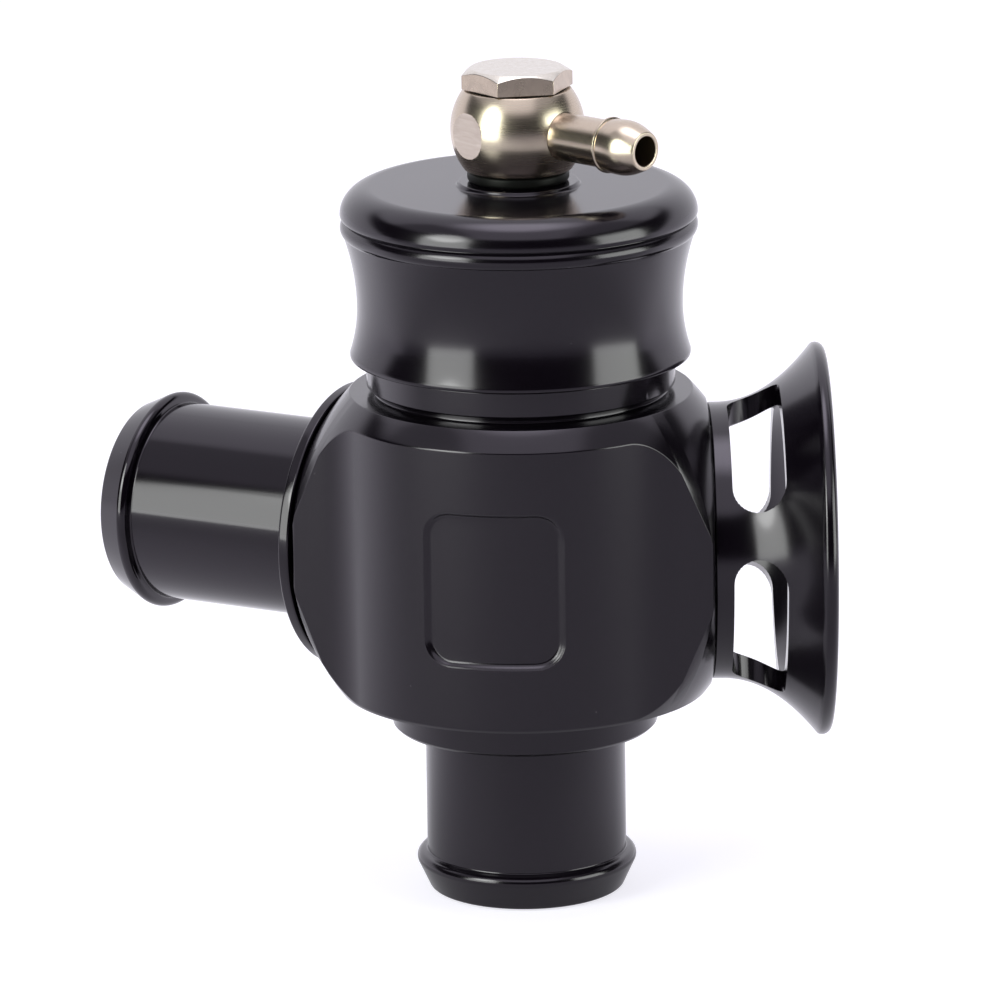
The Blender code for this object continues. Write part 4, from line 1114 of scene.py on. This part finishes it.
def horn_profile():
    """The trumpet from its lip down the outside to its spigot and back along its bore."""
    collar_front = SIDE_SEAT + HORN_COLLAR_LENGTH
    crest = (BELL_RADIUS - BELL_LIP, HORN_REACH - BELL_LIP)
    lip = arc(crest, BELL_LIP, 180, -30, 14)
    outside = bell_curve((HORN_COLLAR_RADIUS, collar_front), lip[-1], BELL_STEPS, BELL_POWER)
    points = lip[:-1] + outside[::-1]
    points += [(HORN_COLLAR_RADIUS, SIDE_SEAT, EDGE)] + side_spigot() + [(PORT_BORE, SIDE_SEAT)]
    for step in range(1, THROAT_STEPS):
        angle = pi / 2 * step / THROAT_STEPS
        length = PORT_FACE + THROAT_LENGTH - SIDE_SEAT
        radius = PORT_BORE + (THROAT_RADIUS - PORT_BORE) * sin(angle)
        points.append((radius, SIDE_SEAT + length * (1 - cos(angle))))
    points += bell_curve((THROAT_RADIUS, PORT_FACE + THROAT_LENGTH), lip[0], BELL_STEPS, BELL_BORE_POWER)
    return points


def window_cutter(azimuth):
    """One window: a slot with round ends, drawn out from the trumpet's axis."""
    middle = PORT_FACE + WINDOW_START + WINDOW_WIDTH / 2
    half_width = WINDOW_WIDTH / 2
    end_angle = half_width / HORN_COLLAR_RADIUS
    straight = WINDOW_SPAN / 2 - end_angle
    outline = []
    for side in (1, -1):
        outline += [(side * straight * share, middle + side * half_width) for share in (-0.5, 0.0, 0.5)]
        for step in range(WINDOW_STEPS + 1):
            turn = pi / 2 - pi * step / WINDOW_STEPS
            angle = side * (straight + end_angle * cos(turn))
            outline.append((angle, middle + side * half_width * sin(turn)))
    rings = [[(radius * cos(azimuth + angle), radius * sin(azimuth + angle), far) for angle, far in outline]
             for radius in (0.5 * THROAT_RADIUS, 1.1 * BELL_RADIUS)]
    return stacked("window_cutter", rings, HORN_BLACK)


horn = turned("horn", horn_profile(), HORN_BLACK)
cut(horn, [window_cutter(WINDOW_TURN + 2 * pi * index / WINDOW_COUNT) for index in range(WINDOW_COUNT)])
dress(laid(horn, 0.0), "trumpet", "body")

# %% [markdown]
# ## The banjo fitting
#
# A banjo fitting takes a hose off at the side of a hollow bolt. Its ball turns on the bolt until the bolt
# is tightened, so the ball and its hose tail ride on their own body. The ball has two spanner flats, the
# tail ends in a rounded barb, and the bolt has a chamfered hexagon head.

# %% Set the banjo's sizes
ring_low, ring_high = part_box("banjo_ring")
bolt_low, bolt_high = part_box("banjo_bolt")
BALL_CENTRE = (ring_low.z + ring_high.z) / 2
BALL_HALF_HEIGHT = (ring_high.z - ring_low.z) / 2
BALL_RADIUS = 0.0083
BOLT_RADIUS = 0.0040
TAIL_TURN = radians(-45.0)
TAIL_RADIUS = 0.00295
TAIL_BORE = 0.00185
TAIL_REACH = 0.0213
TAIL_END = 0.0062
SPANNER_DEPTH = 0.0005
SPANNER_TURN = radians(-144.0)
HEAD_TOP = bolt_high.z
HEAD_HEIGHT = 0.0025
HEAD_CORNER = 0.00695
HEAD_TURN = radians(8.3 - 90.0)
HEAD_TOP_RADIUS = 0.0057
HEAD_CHAMFER = 0.0008
WASHER_SEAT_RADIUS = 0.00585
WASHER_SEAT_DEPTH = 0.00045
SOCKET_MOUTH = 0.0078
SOCKET_FACETS = 64

# %% Turn the ball and cut its flats
def banjo_ball():
    """The ball with its bore, the hose tail's socket and the spanner flats."""
    flat = degrees(asin(BALL_HALF_HEIGHT / BALL_RADIUS))
    outside = [(point.x, point.y + BALL_CENTRE) for point in arc((0.0, 0.0), BALL_RADIUS, flat, -flat, 44)]
    top, bottom = BALL_CENTRE + BALL_HALF_HEIGHT, BALL_CENTRE - BALL_HALF_HEIGHT
    seat = top - WASHER_SEAT_DEPTH
    below = (BOLT_HOLE, seat - 0.0005)
    profile = [below, (BOLT_HOLE, seat, EDGE), (WASHER_SEAT_RADIUS, seat, FINE_EDGE)]
    profile += [(WASHER_SEAT_RADIUS, top, FINE_EDGE), outside[0] + (EDGE,)] + outside[1:-1]
    profile += [outside[-1] + (EDGE,), (BOLT_HOLE, bottom, EDGE), below]
    ball = turned("banjo_ball", profile, BALL_NICKEL)
    rim, step, inside = TAIL_RADIUS + 0.00005, TAIL_END - 0.0003, BOLT_HOLE - 0.001
    beyond = 2 * BALL_RADIUS
    socket = [(0.0, beyond), (rim + beyond - SOCKET_MOUTH, beyond), (rim, SOCKET_MOUTH), (rim, step)]
    socket += [(TAIL_BORE, step), (TAIL_BORE, inside), (0.0, inside)]
    cutters = [laid(turned("socket_cutter", socket, BALL_NICKEL, SOCKET_FACETS), TAIL_TURN, BALL_CENTRE)]
    for azimuth in (SPANNER_TURN, SPANNER_TURN + pi):
        work = bmesh.new()
        shift = Matrix.Translation((beyond - SPANNER_DEPTH, 0.0, BALL_CENTRE))
        bmesh.ops.create_cube(work, size=beyond, matrix=Matrix.Rotation(azimuth, 4, "Z") @ shift)
        cutters.append(block("flat_cutter", work, FLAT_NICKEL))
    return cut(ball, cutters)


dress(banjo_ball(), "banjo_ring", "banjo")

# %% Turn the hose tail
BARB_FROM_TIP = 0.0055
BARB_CREST = 0.0034
BARB_RISE = 0.00045
BARB_STEP = 0.00032
TIP_RADIUS = 0.00235
BARB_STEPS = 20


def tail_profile():
    """The hose tail from its tip over the rounded barb to its inner end."""
    back = TAIL_REACH - BARB_FROM_TIP
    inside = (TAIL_BORE, TAIL_REACH - 0.0005)
    points = [inside, (TAIL_BORE, TAIL_REACH, FINE_EDGE), (TIP_RADIUS, TAIL_REACH, 0.00015)]
    crest = BARB_CREST / BARB_FROM_TIP
    for step in range(1, BARB_STEPS + 1):
        share = step / BARB_STEPS
        foot = TIP_RADIUS if share < crest else TAIL_RADIUS + BARB_STEP
        part = share / crest if share < crest else (1 - share) / (1 - crest)
        rise = TAIL_RADIUS + BARB_RISE - foot
        points.append((foot + rise * sin(pi / 2 * part), TAIL_REACH - BARB_FROM_TIP * share))
    ring = TAIL_RADIUS + BARB_RISE + 0.00006
    points += [(ring, back - 0.0001, FINE_EDGE), (ring, back - 0.0004, FINE_EDGE)]
    points += [(TAIL_RADIUS, back - 0.0005, 0.00008), (TAIL_RADIUS, TAIL_END, EDGE)]
    return points + [(TAIL_BORE, TAIL_END), inside]


tail = laid(turned("hose_tail", tail_profile(), TAIL_NICKEL, SMALL_FACETS), TAIL_TURN, BALL_CENTRE)
dress(tail, "banjo_hose_tail", "banjo")

# %% Forge the bolt
SHANK_BOTTOM = bolt_low.z
BOLT_BORE = 0.0016
HEAD_ROUND = 0.00007
BAR_SPARE = 0.001


def bolt_head():
    """The hexagon head: a six-sided prism with a turned chamfer and broken edges."""
    work = bmesh.new()
    middle = HEAD_TOP + (BAR_SPARE - HEAD_HEIGHT) / 2
    place = Matrix.Translation(middle * UP) @ Matrix.Rotation(HEAD_TURN, 4, "Z")
    bmesh.ops.create_cone(work, cap_ends=True, segments=6, radius1=HEAD_CORNER, radius2=HEAD_CORNER,
                          depth=HEAD_HEIGHT + BAR_SPARE, matrix=place)
    head = block("bolt_head", work, SIDE_NICKEL)
    wide = HEAD_CORNER + 0.0004
    low = HEAD_TOP - HEAD_CHAMFER / (HEAD_CORNER - HEAD_TOP_RADIUS) * (wide - HEAD_TOP_RADIUS)
    bottom = HEAD_TOP - HEAD_HEIGHT
    dome = [(0.0, HEAD_TOP), (HEAD_TOP_RADIUS, HEAD_TOP, 0.0004), (wide, low), (wide, bottom - 0.001)]
    dome.append((0.0, bottom - 0.001))
    # The dome gives the top and chamfer the paler nickel, a painted highlight; the hexagon sides keep the
    # darker plate.
    cut(head, [turned("head_dome", dome, BOLT_NICKEL_PAINTED_HIGHLIGHT)], "INTERSECT")
    edges = head.modifiers.new("Edges", "BEVEL")
    edges.width = HEAD_ROUND
    edges.segments = 2
    edges.limit_method = "ANGLE"
    edges.angle_limit = radians(25.0)
    edges.use_clamp_overlap = False
    return bake(head)


def bolt():
    """The head and the hollow shank, as one piece."""
    middle = HEAD_TOP - HEAD_HEIGHT / 2
    shank = [(0.0, middle), (BOLT_RADIUS, middle), (BOLT_RADIUS, SHANK_BOTTOM, BROAD_EDGE)]
    shank += [(BOLT_BORE, SHANK_BOTTOM), (BOLT_BORE, BALL_CENTRE), (0.0, BALL_CENTRE)]
    return cut(turned("bolt", shank, BOLT_NICKEL_PAINTED_HIGHLIGHT, SMALL_FACETS), [bolt_head()], "UNION")


dress(bolt(), "banjo_bolt", "body")

# %% [markdown]
# ## The washers, the piston and the seals
#
# The washers show at their edges, so they are turned again with finer edges. The spring closes up when the
# piston lifts; here it is a piece of its own, a copy of its imported shape that stands against the cap. The
# piston shows a little through the trumpet and from below. It and the rings keep their imported meshes,
# with a better finish.

# %% Turn the washers
def flat_ring(name, node):
    """A washer with rounded edges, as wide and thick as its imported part."""
    low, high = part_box(node)
    outer, edge = (high.x - low.x) / 2, 0.3 * (high.z - low.z)
    middle = (low.z + high.z) / 2
    profile = [(BOLT_HOLE, middle), (BOLT_HOLE, high.z), (outer, high.z, edge), (outer, low.z, edge)]
    profile += [(BOLT_HOLE, low.z), (BOLT_HOLE, middle)]
    return turned(name, profile, RUBBER, SMALL_FACETS)


for washer in ("lower_washer", "upper_washer"):
    dress(flat_ring(washer, "banjo_" + washer), "banjo_" + washer, "body")


def refinish(mesh, finish):
    """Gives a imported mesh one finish."""
    mesh.materials.clear()
    mesh.materials.append(finish)


def closing_spring():
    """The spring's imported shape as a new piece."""
    packed = nodes["main_spring"]
    mesh = packed.data.copy()
    mesh.transform(packed.matrix_world)
    refinish(mesh, SPRING_STEEL)
    spring = dress(new_object("coil_spring", mesh), "main_spring", "body")
    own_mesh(spring)


closing_spring()

# %% Finish the hidden parts
SEALS = ("cap_o_ring", "inlet_o_ring", "trumpet_o_ring", "recirculation_o_ring", "piston_o_ring",
         "piston_nose_seal")
HIDDEN = {"piston": PISTON_BARE, "piston_upper_band": BAND, "piston_lower_band": BAND,
          "spring_seat_washer": SPRING_STEEL} | {seal: RUBBER for seal in SEALS}
for node, finish in HIDDEN.items():
    refinish(nodes[node].data, finish)
print("finished inside:", len(HIDDEN))
